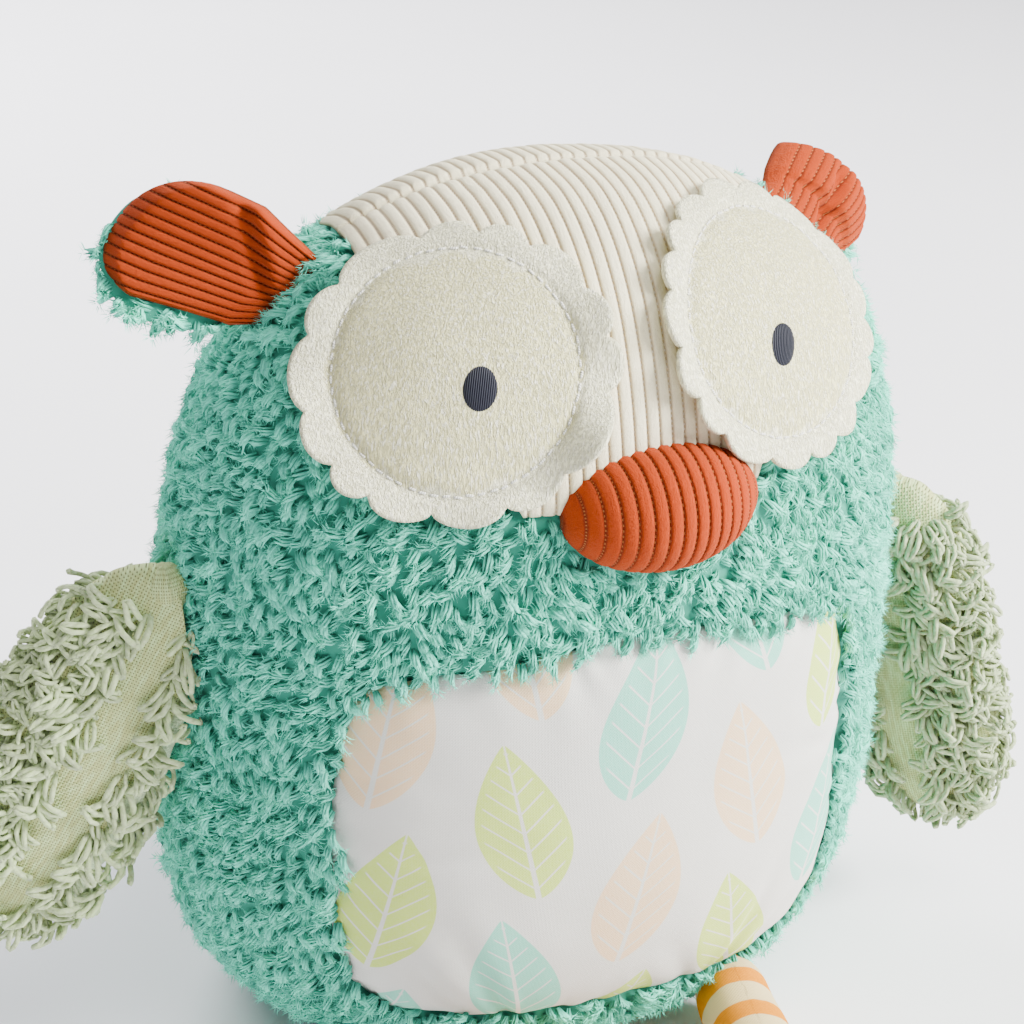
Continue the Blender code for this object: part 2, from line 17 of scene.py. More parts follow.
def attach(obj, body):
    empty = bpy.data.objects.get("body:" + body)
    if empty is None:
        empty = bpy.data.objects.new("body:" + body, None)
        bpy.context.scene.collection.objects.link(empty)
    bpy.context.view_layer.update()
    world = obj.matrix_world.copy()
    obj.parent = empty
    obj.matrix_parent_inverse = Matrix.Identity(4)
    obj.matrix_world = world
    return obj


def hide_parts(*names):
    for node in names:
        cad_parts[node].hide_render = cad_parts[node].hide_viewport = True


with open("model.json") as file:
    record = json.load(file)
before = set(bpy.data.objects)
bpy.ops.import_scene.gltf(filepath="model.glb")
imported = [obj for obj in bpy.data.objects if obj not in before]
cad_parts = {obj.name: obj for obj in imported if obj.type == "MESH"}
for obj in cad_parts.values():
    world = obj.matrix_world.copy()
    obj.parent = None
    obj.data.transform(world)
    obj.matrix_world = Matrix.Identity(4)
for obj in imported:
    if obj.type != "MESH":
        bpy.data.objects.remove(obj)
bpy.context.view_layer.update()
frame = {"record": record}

bl_info = {
    "name": "Plush owl",
    "version": (1, 0, 0),
    "blender": (4, 5, 0),
    "location": "3D View > Sidebar > Owl",
    "description": "Dresses the packed owl in pile, corduroy, felt, cotton and looped cloth",
    "category": "Object",
}

MM = 0.001
SIDES = {"right": -1, "left": 1}

# The body's form over the pile: the same cage as the model's own.
BODY_WIDTH = 0.226
BODY_DEPTH = 0.180
BODY_HEIGHT = 0.264
BODY_LEAN = 0.036
BASE_CUT = 0.0005
BODY_RING_SHARES = (
    (0.000, 0.00, 0.00),
    (0.000, 0.38, 0.40),
    (0.000, 0.68, 0.70),
    (0.050, 0.91, 0.93),
    (0.170, 1.02, 1.03),
    (0.335, 1.035, 1.01),
    (0.495, 1.01, 0.94),
    (0.650, 0.99, 0.90),
    (0.800, 0.90, 0.80),
    (0.925, 0.70, 0.62),
    (1.000, 0.36, 0.33),
    (1.010, 0.00, 0.00),
)
SIDE_SEAM_Y = -0.015

# Belly panel, seen from in front.
BELLY_TOP = 0.1535
BELLY_BOTTOM = 0.030
BELLY_HALF_WIDTH = 0.078
BELLY_SIDE_SHARES = (
    (0.50, 0.96), (0.85, 0.91), (0.95, 0.80), (1.00, 0.48), (0.97, 0.18), (0.80, 0.03), (0.40, 0.00)
)
# The cotton reaches further out to the right, to the left and below, and most at the lower left corner.
BELLY_SPREAD_RIGHT, BELLY_SPREAD_LEFT, BELLY_SPREAD_BELOW = 1.045, 1.01, 1.05
BELLY_CORNER_SPREAD, BELLY_CORNER_DEGREES, BELLY_CORNER_SPAN_DEGREES = 0.085, -46, 24

# Forehead and crown panels.
FOREHEAD_BOTTOM = 0.192
FOREHEAD_FOOT_HALF_WIDTH = 0.033
FOREHEAD_TOP_HALF_WIDTH = 0.060
FOREHEAD_CORNER_Z = 0.247
CROWN_BOTTOM = 0.248
# Rays to the forehead start at this height, and its wales are about this long.
FOREHEAD_CORE_Z = 0.180
FOREHEAD_ARC = 0.085

# Eyes and beak.
EYE_X = {"right": 0.0460, "left": 0.0435}
EYE_Z = {"right": 0.2285, "left": 0.2305}
EYE_STITCH_RADIUS = 0.0306
EYE_HEM = 0.0052
SCALLOP_RISE = 0.0038
EYE_SCALLOPS = {"right": 14, "left": 17}
PUPIL_X = 0.0408
PUPIL_Z = 0.2245
PUPIL_WIDTH = 0.0092
PUPIL_HEIGHT = 0.0112
BEAK_X = 0.0040
BEAK_Z = 0.1905
BEAK_WIDTH = 0.055
BEAK_HEIGHT = 0.031
BEAK_BULGE = 0.0130

# Ears.
EAR_LENGTH = 0.041
EAR_WIDTH = 0.042
EAR_THICKNESS = 0.010
EAR_CUP = {"right": 0.007, "left": -0.002}
EAR_PUFF = {"right": 0.0, "left": 0.004}
EAR_LEAN = {"right": 0.0105, "left": 0.005}
EAR_LINING_END_SHARES = {"right": 0.965, "left": 0.99}
EAR_WIDEST_SHARES = {"right": 0.50, "left": 0.62}
EAR_BLUNTNESS = {"right": 2.2, "left": 4.0}
EAR_LINING_LIFT = 0.0025
EAR_SWEEP_DEGREES = {"right": 30.0, "left": 48.0}
EAR_REACH_SHARES = {"right": 1.0, "left": 0.46}
EAR_LINING_STARTS = {"right": -0.0085, "left": -0.014}
# What the back's widths are multiplied by above and below its middle line, by the share of the ear's length.
EAR_BACK_FACTORS = {
    "right": {
        "share": (-0.09, 0.20, 0.60, 0.96),
        "upper": (1.0, 0.98, 0.80, 0.45),
        "lower": (1.15, 1.22, 1.0, 0.58),
    },
    "left": {
        "share": (-0.09, 0.20, 0.60, 0.96),
        "upper": (1.50, 0.98, 0.90, 0.82),
        "lower": (1.3, 0.98, 0.92, 0.82),
    },
}
# Half widths of the lining in millimetres, above and below its middle line.
EAR_LINING_HALVES = {
    "right": {
        "share": (-0.15, 0.02, 0.26, 0.60),
        "upper": (11.3, 13.9, 17.8, 18.2),
        "lower": (10.8, 14.8, 16.2, 18.2),
    },
    "left": {
        "share": (-0.30, 0.05, 0.40, 0.60),
        "upper": (18.0, 19.5, 20.0, 20.0),
        "lower": (15.0, 18.0, 20.0, 20.0),
    },
}
EAR_SHARES = (
    (-0.12, 0.00, 0.00),
    (-0.09, 0.60, 0.80),
    (0.20, 0.95, 1.00),
    (0.60, 1.25, 1.05),
    (0.96, 1.12, 0.70),
    (1.03, 0.00, 0.00),
)

# Wings.
WING_ROOT_RADIUS = 0.0085
WING_LENGTH = 0.122
WING_WIDTH = 0.056
WING_THICKNESS = 0.015
WING_HEADING_DEGREES = {"right": 16.0, "left": -12.0}
WING_DROOP_DEGREES = {"right": 60.0, "left": 77.0}
WING_TWIST_DEGREES = {"right": 0.0, "left": 33.0}
WING_SHARES = (
    (-0.060, 0.00, 0.00),
    (-0.035, 0.50, 0.90),
    (0.14, 1.02, 1.10),
    (0.47, 1.10, 1.15),
    (0.80, 1.05, 1.00),
    (0.97, 0.60, 0.60),
    (1.00, 0.00, 0.00),
)
# Bands of loops across a wing, from its lower edge to its upper edge.
LOOP_BANDS = ((-1.02, -0.86), (-0.68, -0.46), (0.08, 1.02))

# Legs.
LEG_RADIUS = 0.0122
LEG_LENGTH = 0.112
LEG_FOOT_RADIUS = 0.0138
LEG_TOE_IN_DEGREES = 11.0
LEG_GAP = 0.0003
LEG_ROOT_SHARES = ((-1.03, 0.00), (-0.80, 0.70), (0.10, 1.06), (0.90, 1.02))
LEG_TUBE_SHARES = ((0.50, 0.96), (0.84, 1.10), (0.98, 0.75), (1.01, 0.00))

# Camera: where it stands, what it looks at, and its lens.
CAMERA_AZIMUTH = -21.676
CAMERA_ELEVATION = 25.041
CAMERA_DISTANCE = 0.63419
CAMERA_TARGET = (0.00412, 0.02326, 0.14375)
CAMERA_LENS = 73.416


def length(name, description, default):
    return bpy.props.FloatProperty(
        name=name, description=description, default=default, unit="LENGTH", precision=5
    )


def ribs(name, description, default):
    return bpy.props.IntProperty(name=name, description=description, default=default, min=6, max=60)


def colour(name, description, default):
    return bpy.props.FloatVectorProperty(
        name=name, description=description, default=default, size=3, subtype="COLOR", min=0, max=1
    )


class OwlSizes(bpy.types.PropertyGroup):
    """Sizes of the cloth's own detail."""

    tuft_spacing: length("Tuft spacing", "Least distance between two tufts of the pile", 0.0027)
    tuft_length: length("Tuft length", "Length of a tuft of the pile", 0.0064)
    wale_height: length("Wale height", "Height of the corduroy's ribs", 0.0009)
    felt_thickness: length("Felt thickness", "Thickness of the felt round the eyes", 0.0014)
    loop_length: length("Loop length", "Length of a yarn loop on the wings", 0.0088)
    loop_spacing: length("Loop spacing", "Least distance between two yarn loops", 0.0021)
    thread_pitch: length("Thread pitch", "Distance between two threads of the wings' cloth", 0.0009)
    stripe_pitch: length("Stripe pitch", "Distance from one orange stripe to the next on the legs", 0.0155)
    wales: ribs("Wales", "Ribs across the forehead", 34)
    beak_wales: ribs("Beak wales", "Ribs across the beak", 15)
    ear_wales: ribs("Ear wales", "Ribs across an ear", 13)


class OwlColours(bpy.types.PropertyGroup):
    """Colours of the cloths, threads and yarns."""

    pile: colour("Pile", "Tips of the pile", (0.165, 0.80, 0.60))
    # The pile's root colour is painted shade: the dark between and under the tufts.
    pile_root_shade: colour("Pile, deep", "Roots of the pile and its backing", (0.045, 0.34, 0.24))
    rust: colour("Rust corduroy", "Ribs of the beak and ears", (0.40, 0.046, 0.006))
    # The rust corduroy's deep colour is painted shade in the valleys between the wales.
    rust_valley_shade: colour("Rust corduroy, deep", "Valleys of the beak and ears", (0.17, 0.022, 0.006))
    cream: colour("Cream corduroy", "Ribs of the forehead", (1.0, 0.94, 0.68))
    # The cream corduroy's deep colour is painted shade in the valleys between the wales.
    cream_valley_shade: colour("Cream corduroy, deep", "Valleys of the forehead", (0.62, 0.49, 0.30))
    felt: colour("Felt", "Felt round the eyes", (0.84, 0.80, 0.44))
    # The hem's lighter colour is a painted highlight: the same felt as inside the stitching, painted as if lit.
    felt_hem_highlight: colour("Felt hem", "Felt outside the stitching", (1.0, 0.98, 0.70))
    thread: colour("Thread", "Stitches round the eyes", (0.93, 0.92, 0.84))
    navy: colour("Pupil thread", "Satin stitch of the pupils", (0.008, 0.010, 0.022))
    cotton: colour("Cotton", "Ground of the belly's print", (0.70, 0.69, 0.65))
    lime: colour("Lime leaf", "First colour of the print", (0.56, 0.72, 0.11))
    mint: colour("Mint leaf", "Second colour of the print", (0.20, 0.66, 0.50))
    peach: colour("Peach leaf", "Third colour of the print", (0.84, 0.60, 0.35))
    sage: colour("Wing cloth", "Woven cloth of the wings", (0.49, 0.53, 0.22))
    yarn: colour("Wing yarn", "Loops of yarn on the wings", (0.60, 0.74, 0.36))
    stripe: colour("Stripe", "Orange stripes of the legs", (0.70, 0.24, 0.0005))
    jersey: colour("Jersey", "Cream ground of the legs", (0.70, 0.55, 0.29))
    floor: colour("Floor", "Surface that the owl sits on", (0.95, 0.95, 0.99))


# Mesh helpers.


def deselect():
    if bpy.context.object and bpy.context.object.mode != "OBJECT":
        bpy.ops.object.mode_set(mode="OBJECT")
    bpy.ops.object.select_all(action="DESELECT")


def activate(obj):
    deselect()
    obj.select_set(True)
    bpy.context.view_layer.objects.active = obj
    return obj


def named(name):
    obj = bpy.context.object
    obj.name = name
    obj.data.name = name
    return obj


def in_edit(obj, *steps):
    """Runs edit-mode steps on the whole mesh; each step is an operator and its settings."""
    activate(obj)
    bpy.ops.object.mode_set(mode="EDIT")
    for operator, settings in steps:
        bpy.ops.mesh.select_all(action="SELECT")
        operator(**settings)
    bpy.ops.object.mode_set(mode="OBJECT")


def apply(obj, kind, **settings):
    activate(obj)
    modifier = obj.modifiers.new(kind.lower(), kind)
    for key, value in settings.items():
        setattr(modifier, key, value)
    bpy.ops.object.modifier_apply(modifier=modifier.name)


def subdivide(obj, levels):
    apply(obj, "SUBSURF", levels=levels, render_levels=levels)


def places(obj):
    spots = np.empty(len(obj.data.vertices) * 3)
    obj.data.vertices.foreach_get("co", spots)
    return spots.reshape(-1, 3)


def put(obj, spots):
    obj.data.vertices.foreach_set("co", np.asarray(spots, dtype=float).ravel())
    obj.data.update()


def set_uv(obj, per_point=None, per_corner=None):
    """Writes the UV map from values for each point or for each corner."""
    layers = obj.data.uv_layers
    layer = layers[0] if layers else layers.new(name="UVMap")
    if per_corner is None:
        corners = np.empty(len(obj.data.loops), dtype=int)
        obj.data.loops.foreach_get("vertex_index", corners)
        per_corner = np.asarray(per_point)[corners]
    layer.data.foreach_set("uv", np.asarray(per_corner, dtype=float).ravel())


def grid(name, columns, rows, place, merge=True, uv=None):
    """A grid whose points are put by place, which gets two arrays from 0 to 1."""
    deselect()
    bpy.ops.mesh.primitive_grid_add(x_subdivisions=columns, y_subdivisions=rows, size=2)
    obj = named(name)
    flat = places(obj)
    across, along = (flat[:, 0] + 1) / 2, (flat[:, 1] + 1) / 2
    put(obj, place(across, along))
    set_uv(obj, np.stack(uv(across, along) if uv else (across, along), 1))
    if merge:
        merge_doubles(obj)
    return obj


def keep_faces(obj, kept):
    """Deletes the faces that aren't kept."""
    activate(obj)
    context_tools = bpy.context.tool_settings
    context_tools.mesh_select_mode = (False, False, True)
    bpy.ops.object.mode_set(mode="EDIT")
    bpy.ops.mesh.select_all(action="DESELECT")
    bpy.ops.object.mode_set(mode="OBJECT")
    obj.data.polygons.foreach_set("select", [not chosen for chosen in kept])
    bpy.ops.object.mode_set(mode="EDIT")
    bpy.ops.mesh.delete(type="FACE")
    bpy.ops.object.mode_set(mode="OBJECT")
    context_tools.mesh_select_mode = (True, False, False)


def merge_doubles(obj, distance=2e-6):
    in_edit(
        obj,
        (bpy.ops.mesh.remove_doubles, {"threshold": distance}),
        (bpy.ops.mesh.normals_make_consistent, {"inside": False}),
    )


def face_out(obj, centre):
    """Turns an open sheet so that most of its faces look away from the centre."""
    mesh = obj.data
    votes = sum(1 if (face.center - Vector(centre)).dot(face.normal) > 0 else -1 for face in mesh.polygons)
    if votes < 0:
        in_edit(obj, (bpy.ops.mesh.flip_normals, {}))


def smooth(obj):
    activate(obj)
    bpy.ops.object.shade_smooth()


def soft_form(name, sides, stations, place, levels, matrix=None):
    """A closed swelling form as the model makes it: rings of points between two poles, subdivided."""
    deselect()
    last = len(stations) - 1
    bpy.ops.mesh.primitive_uv_sphere_add(segments=sides, ring_count=last, radius=1)
    obj = named(name)
    spots = places(obj)
    rings = np.rint(np.arccos(np.clip(-spots[:, 2], -1, 1)) / math.pi * last).astype(int)
    angles = np.arctan2(spots[:, 0], -spots[:, 1])
    moved = [place(stations[ring], angle) for ring, angle in zip(rings, angles)]
    if matrix:
        moved = [matrix @ spot for spot in moved]
    put(obj, moved)
    in_edit(obj, (bpy.ops.mesh.normals_make_consistent, {"inside": False}))
    subdivide(obj, levels)
    return obj


def basis(origin, along_x, along_z):
    z = along_z.normalized()
    x = (along_x - along_x.dot(z) * z).normalized()
    matrix = Matrix((x, z.cross(x), z)).transposed().to_4x4()
    matrix.translation = origin
    return matrix


def transformed(matrix, spots):
    turn = np.array(matrix.to_3x3())
    return spots @ turn.T + np.array(matrix.translation)


class Skin:
    """A smooth surface that gives a point and an outward normal for a ray or for a place near it."""

    def __init__(self, obj):
        self.points = [vertex.co.copy() for vertex in obj.data.vertices]
        self.normals = [vertex.normal.copy() for vertex in obj.data.vertices]
        self.faces = [tuple(face.vertices) for face in obj.data.polygons]
        self.tree = BVHTree.FromPolygons(self.points, self.faces)

    def smooth_normal(self, hit, face):
        corners = self.faces[face]
        shares = poly_3d_calc([self.points[corner] for corner in corners], hit)
        total = Vector()
        for corner, share in zip(corners, shares):
            total += self.normals[corner] * share
        return total.normalized()

    def ray(self, origin, direction):
        hit, _, face, _ = self.tree.ray_cast(Vector(origin), Vector(direction))
        if hit is None:
            raise RuntimeError(f"no surface on the ray from {tuple(origin)}")
        return hit, self.smooth_normal(hit, face)

    def front(self, x, z):
        return self.ray((x, -0.4, z), (0, 1, 0))

    def nearest(self, place):
        hit, _, face, distance = self.tree.find_nearest(Vector(place))
        return hit, self.smooth_normal(hit, face), distance


def body_form(name, levels):
    def place(station, angle):
        height_share, width_share, depth_share = station
        half_width = width_share * BODY_WIDTH / 2
        half_depth = depth_share * BODY_DEPTH / 2
        forward = BODY_LEAN * (height_share - 0.5)
        height = height_share * BODY_HEIGHT - BASE_CUT
        return Vector((half_width * math.sin(angle), -forward - half_depth * math.cos(angle), height))

    return soft_form(name, 16, BODY_RING_SHARES, place, levels)


def joined(name, objects):
    deselect()
    for obj in objects:
        obj.select_set(True)
    bpy.context.view_layer.objects.active = objects[0]
    bpy.ops.object.join()
    return named(name)


def remove(obj):
    bpy.data.objects.remove(obj)


def shape_arrays(obj):
    """A template's points, triangles and corner UVs."""
    in_edit(obj, (bpy.ops.mesh.quads_convert_to_tris, {}))
    faces = np.array([face.vertices[:] for face in obj.data.polygons])
    uv = np.empty(len(obj.data.loops) * 2)
    obj.data.uv_layers[0].data.foreach_get("uv", uv)
    arrays = places(obj), faces, uv.reshape(-1, 2)
    remove(obj)
    return arrays


def copies(name, templates, picks, turns, spots, tints):
    """One mesh of many copies: each takes a template by number, is turned and scaled, and put at its spot."""
    all_points, all_faces, all_uv, all_tints, start = [], [], [], [], 0
    rng = np.random.default_rng(len(spots))
    for number, (points, faces, uv) in enumerate(templates):
        chosen = np.flatnonzero(picks == number)
        count = len(chosen)
        if not count:
            continue
        moved = np.einsum("nij,pj->npi", turns[chosen], points) + spots[chosen][:, None, :]
        all_points.append(moved.reshape(-1, 3))
        offsets = start + np.arange(count) * len(points)
        all_faces.append((faces[None] + offsets[:, None, None]).reshape(-1, 3))
        shift = np.floor(rng.random((count, 1, 2)) * 40)
        all_uv.append((uv[None] + shift).reshape(-1, 2))
        all_tints.append(np.repeat(tints[chosen], len(points)))
        start += count * len(points)
    mesh = bpy.data.meshes.new(name)
    mesh.from_pydata(np.concatenate(all_points), [], np.concatenate(all_faces))
    obj = bpy.data.objects.new(name, mesh)
    bpy.context.scene.collection.objects.link(obj)
    set_uv(obj, per_corner=np.concatenate(all_uv))
    tint = mesh.attributes.new("tint", "FLOAT", "POINT")
    tint.data.foreach_set("value", np.concatenate(all_tints))
    smooth(obj)
    return obj


def scatter(obj, spacing, keep, seed):
    """Random places on the mesh's kept triangles, no two closer than the spacing."""
    mesh = obj.data
    mesh.calc_loop_triangles()
    corners = np.array([triangle.vertices[:] for triangle in mesh.loop_triangles])
    spots = places(obj)
    middles = spots[corners].mean(axis=1)
    chosen = np.array([keep(Vector(middle)) for middle in middles])
    corners = corners[chosen]
    a, b, c = (spots[corners[:, k]] for k in range(3))
    areas = np.linalg.norm(np.cross(b - a, c - a), axis=1) / 2
    rng = np.random.default_rng(seed)
    count = int(areas.sum() / spacing**2 * 5)
    picks = rng.choice(len(corners), count, p=areas / areas.sum())
    r, s = rng.random((2, count, 1))
    r, s = np.where(r + s > 1, 1 - r, r), np.where(r + s > 1, 1 - s, s)
    candidates = a[picks] + r * (b - a)[picks] + s * (c - a)[picks]
    cells, kept = {}, []
    keys = np.floor(candidates / spacing).astype(int)
    near = [(i, j, k) for i in (-1, 0, 1) for j in (-1, 0, 1) for k in (-1, 0, 1)]
    for spot, (i, j, k) in zip(candidates.tolist(), keys.tolist()):
        clash = False
        for di, dj, dk in near:
            for other in cells.get((i + di, j + dj, k + dk), ()):
                apart = (spot[0] - other[0]) ** 2 + (spot[1] - other[1]) ** 2 + (spot[2] - other[2]) ** 2
                if apart < spacing**2:
                    clash = True
                    break
            if clash:
                break
        if not clash:
            cells.setdefault((i, j, k), []).append(spot)
            kept.append(spot)
    return [Vector(spot) for spot in kept]


# Shader helpers.


def feed(tree, socket, value):
    if isinstance(value, bpy.types.NodeSocket):
        tree.links.new(value, socket)
    elif isinstance(value, bpy.types.Node):
        tree.links.new(value.outputs[0], socket)
    else:
        socket.default_value = value


def node(tree, kind, *values, **settings):
    """A new shader node: the values feed its inputs in order, and None leaves one as it is."""
    made = tree.nodes.new("ShaderNode" + kind)
    for key, value in settings.items():
        setattr(made, key, value)
    for socket, value in zip(made.inputs, values):
        if value is not None:
            feed(tree, socket, value)
    return made


def calc(tree, operation, *values):
    return node(tree, "Math", *values, operation=operation).outputs[0]


def blend(tree, factor, first, second):
    made = tree.nodes.new("ShaderNodeMix")
    made.data_type = "RGBA"
    feed(tree, made.inputs[0], factor)
    for socket, value in ((made.inputs[6], first), (made.inputs[7], second)):
        feed(tree, socket, (*value, 1) if isinstance(value, tuple) and len(value) == 3 else value)
    return made.outputs[2]


def ramp(tree, value, low, high, to_low=0.0, to_high=1.0):
    return node(
        tree, "MapRange", value, low, high, to_low, to_high, interpolation_type="SMOOTHSTEP", clamp=True
    ).outputs[0]


def noise_of(tree, place, scale, detail=2.0, roughness=0.5):
    made = tree.nodes.new("ShaderNodeTexNoise")
    if place is not None:
        feed(tree, made.inputs["Vector"], place)
    feed(tree, made.inputs["Scale"], scale)
    made.inputs["Detail"].default_value = detail
    made.inputs["Roughness"].default_value = roughness
    return made.outputs["Fac"]


def split(tree, place):
    made = node(tree, "SeparateXYZ", place)
    return made.outputs[0], made.outputs[1]


def stretched(tree, place, scale):
    return node(tree, "Mapping", place, None, None, scale).outputs[0]


def object_place(tree):
    return tree.nodes.new("ShaderNodeTexCoord").outputs["Object"]


def uv_place(tree):
    return tree.nodes.new("ShaderNodeTexCoord").outputs["UV"]


def new_group(name, inputs, outputs):
    tree = bpy.data.node_groups.new(name, "ShaderNodeTree")
    for label, kind, default in inputs:
        socket = tree.interface.new_socket(label, in_out="INPUT", socket_type=kind)
        if default is not None:
            socket.default_value = default
    for label in outputs:
        tree.interface.new_socket(label, in_out="OUTPUT", socket_type="NodeSocketFloat")
    return tree, tree.nodes.new("NodeGroupInput"), tree.nodes.new("NodeGroupOutput")


def use_group(tree, group, **inputs):
    made = tree.nodes.new("ShaderNodeGroup")
    made.node_tree = group
    for key, value in inputs.items():
        feed(tree, made.inputs[key], value)
    return made.outputs


def fibre_group():
    """Fine fibres: a coarse and a fine noise, as a shade and as a height."""
    group = bpy.data.node_groups.get("owl fibre")
    if group:
        return group
    tree, into, out = new_group(
        "owl fibre",
        (("Place", "NodeSocketVector", None), ("Fineness", "NodeSocketFloat", 400.0)),
        ("Shade", "Height"),
    )
    place, fineness = into.outputs[0], into.outputs[1]
    coarse = noise_of(tree, place, fineness, 3.0, 0.6)
    fine = noise_of(tree, place, calc(tree, "MULTIPLY", fineness, 3.3), 2.0, 0.7)
    feed(tree, out.inputs["Shade"], ramp(tree, coarse, 0.30, 0.70))
    feed(tree, out.inputs["Height"], calc(tree, "MULTIPLY_ADD", fine, 0.5, calc(tree, "MULTIPLY", coarse, 0.5)))
    return tree


def weave_group():
    """Plain weave of round threads: the height, and the gaps between the threads."""
    group = bpy.data.node_groups.get("owl weave")
    if group:
        return group
    tree, into, out = new_group(
        "owl weave",
        (("Place", "NodeSocketVector", None), ("Pitch", "NodeSocketFloat", 0.0007)),
        ("Height", "Gap"),
    )
    x, y = split(tree, into.outputs[0])
    pitch = into.outputs[1]
    x, y = calc(tree, "DIVIDE", x, pitch), calc(tree, "DIVIDE", y, pitch)
    warp = calc(tree, "ABSOLUTE", calc(tree, "SINE", calc(tree, "MULTIPLY", x, math.pi)))
    weft = calc(tree, "ABSOLUTE", calc(tree, "SINE", calc(tree, "MULTIPLY", y, math.pi)))
    cell = calc(tree, "ADD", calc(tree, "FLOOR", x), calc(tree, "FLOOR", y))
    over = calc(tree, "FLOORED_MODULO", cell, 2.0)
    under = calc(tree, "SUBTRACT", 1.0, over)
    height = calc(tree, "ADD", calc(tree, "MULTIPLY", warp, over), calc(tree, "MULTIPLY", weft, under))
    feed(tree, out.inputs["Height"], height)
    feed(tree, out.inputs["Gap"], ramp(tree, calc(tree, "MAXIMUM", warp, weft), 0.75, 0.35))
    return tree


def corduroy_group():
    """Corduroy by its wale number and the distance along: the valley, its stitches, and the pile's fuzz."""
    group = bpy.data.node_groups.get("owl corduroy")
    if group:
        return group
    tree, into, out = new_group(
        "owl corduroy",
        (
            ("Place", "NodeSocketVector", None),
            ("Stitch", "NodeSocketFloat", 0.0011),
            ("Pitch", "NodeSocketFloat", 0.0035),
        ),
        ("Valley", "Stitches", "Fuzz", "Shade"),
    )
    wale, along = split(tree, into.outputs[0])
    middle = calc(tree, "ABSOLUTE", calc(tree, "SUBTRACT", calc(tree, "FRACT", wale), 0.5))
    feed(tree, out.inputs["Valley"], ramp(tree, middle, 0.30, 0.48))
    beat = calc(tree, "SINE", calc(tree, "MULTIPLY", calc(tree, "DIVIDE", along, into.outputs[1]), 2 * math.pi))
    dots = calc(tree, "MULTIPLY", ramp(tree, middle, 0.44, 0.475), ramp(tree, beat, -0.1, 0.5))
    feed(tree, out.inputs["Stitches"], dots)
    metres = node(tree, "CombineXYZ", calc(tree, "MULTIPLY", wale, into.outputs[2]), along).outputs[0]
    fuzz = use_group(tree, fibre_group(), Place=stretched(tree, metres, (1.0, 0.45, 1.0)), Fineness=1500.0)
    feed(tree, out.inputs["Fuzz"], fuzz["Height"])
    feed(tree, out.inputs["Shade"], noise_of(tree, stretched(tree, metres, (1.0, 0.35, 1.0)), 420.0, 3.0, 0.6))
    return tree


def material(name, roughness, sheen=0.0, sheen_roughness=0.4, sheen_tint=(1, 1, 1), specular=0.25):
    """A new material; returns it with its tree and its shader. What is the same all over is set here."""
    made = bpy.data.materials.new(name)
    made.use_nodes = True
    shader = made.node_tree.nodes["Principled BSDF"]
    shader.inputs["Roughness"].default_value = roughness
    shader.inputs["Specular IOR Level"].default_value = specular
    shader.inputs["Sheen Weight"].default_value = sheen
    shader.inputs["Sheen Roughness"].default_value = sheen_roughness
    shader.inputs["Sheen Tint"].default_value = (*sheen_tint, 1)
    return made, made.node_tree, shader


def bump(tree, shader, height, distance, strength=1.0):
    made = tree.nodes.new("ShaderNodeBump")
    made.inputs["Strength"].default_value = strength
    made.inputs["Distance"].default_value = distance
    feed(tree, made.inputs["Height"], height)
    tree.links.new(made.outputs[0], shader.inputs["Normal"])


def pile_material(colours):
    made = bpy.data.materials.get("teal pile")
    if made:
        return made
    made, tree, shader = material("teal pile", 0.95, 0.30, 0.5, (0.45, 0.95, 0.82), 0.08)
    _, along = split(tree, uv_place(tree))
    # Painted shade: each strand darkens from its tip towards its root, where the pile lies in shade.
    tip = ramp(tree, calc(tree, "FRACT", along), 0.0, 0.55)
    fibres = use_group(tree, fibre_group(), Place=stretched(tree, uv_place(tree), (9.0, 2.2, 1.0)), Fineness=1.0)
    patch = noise_of(tree, object_place(tree), 38.0, 2.0)
    tint = tree.nodes.new("ShaderNodeAttribute")
    tint.attribute_name = "tint"
    deep = blend(tree, tip, tuple(colours.pile_root_shade), tuple(colours.pile))
    bright = calc(tree, "ADD", 0.80, calc(tree, "MULTIPLY", tint.outputs["Fac"], 0.30))
    bright = calc(tree, "ADD", bright, ramp(tree, fibres["Shade"], 0.0, 1.0, -0.16, 0.16))
    bright = calc(tree, "ADD", bright, ramp(tree, patch, 0.35, 0.65, -0.04, 0.04))
    value = node(tree, "HueSaturation", 0.5, 1.0, bright, 1.0, deep)
    tree.links.new(value.outputs[0], shader.inputs["Base Color"])
    bump(tree, shader, fibres["Height"], 0.0005, 0.7)
    return made


def corduroy_material(name, ridge, valley, stitch, sheen_tint):
    made = bpy.data.materials.get(name)
    if made:
        return made
    made, tree, shader = material(name, 0.92, 0.07, 0.4, sheen_tint, 0.10)
    cloth = use_group(tree, corduroy_group(), Place=uv_place(tree))
    shade = ramp(tree, cloth["Shade"], 0.25, 0.75)
    # The valley colour is painted shade: the valleys and the fuzz's low places are darkened towards it.
    base = blend(tree, cloth["Valley"], ridge, valley)
    base = blend(tree, calc(tree, "MULTIPLY", shade, 0.11), base, valley)
    base = blend(tree, ramp(tree, cloth["Fuzz"], 0.40, 0.62, 0.15, 0.0), base, valley)
    base = blend(tree, calc(tree, "MULTIPLY", cloth["Stitches"], 0.6), base, stitch)
    tree.links.new(base, shader.inputs["Base Color"])
    height = calc(tree, "ADD", cloth["Fuzz"], calc(tree, "MULTIPLY", cloth["Stitches"], 0.5))
    bump(tree, shader, height, 0.0009, 1.0)
    return made


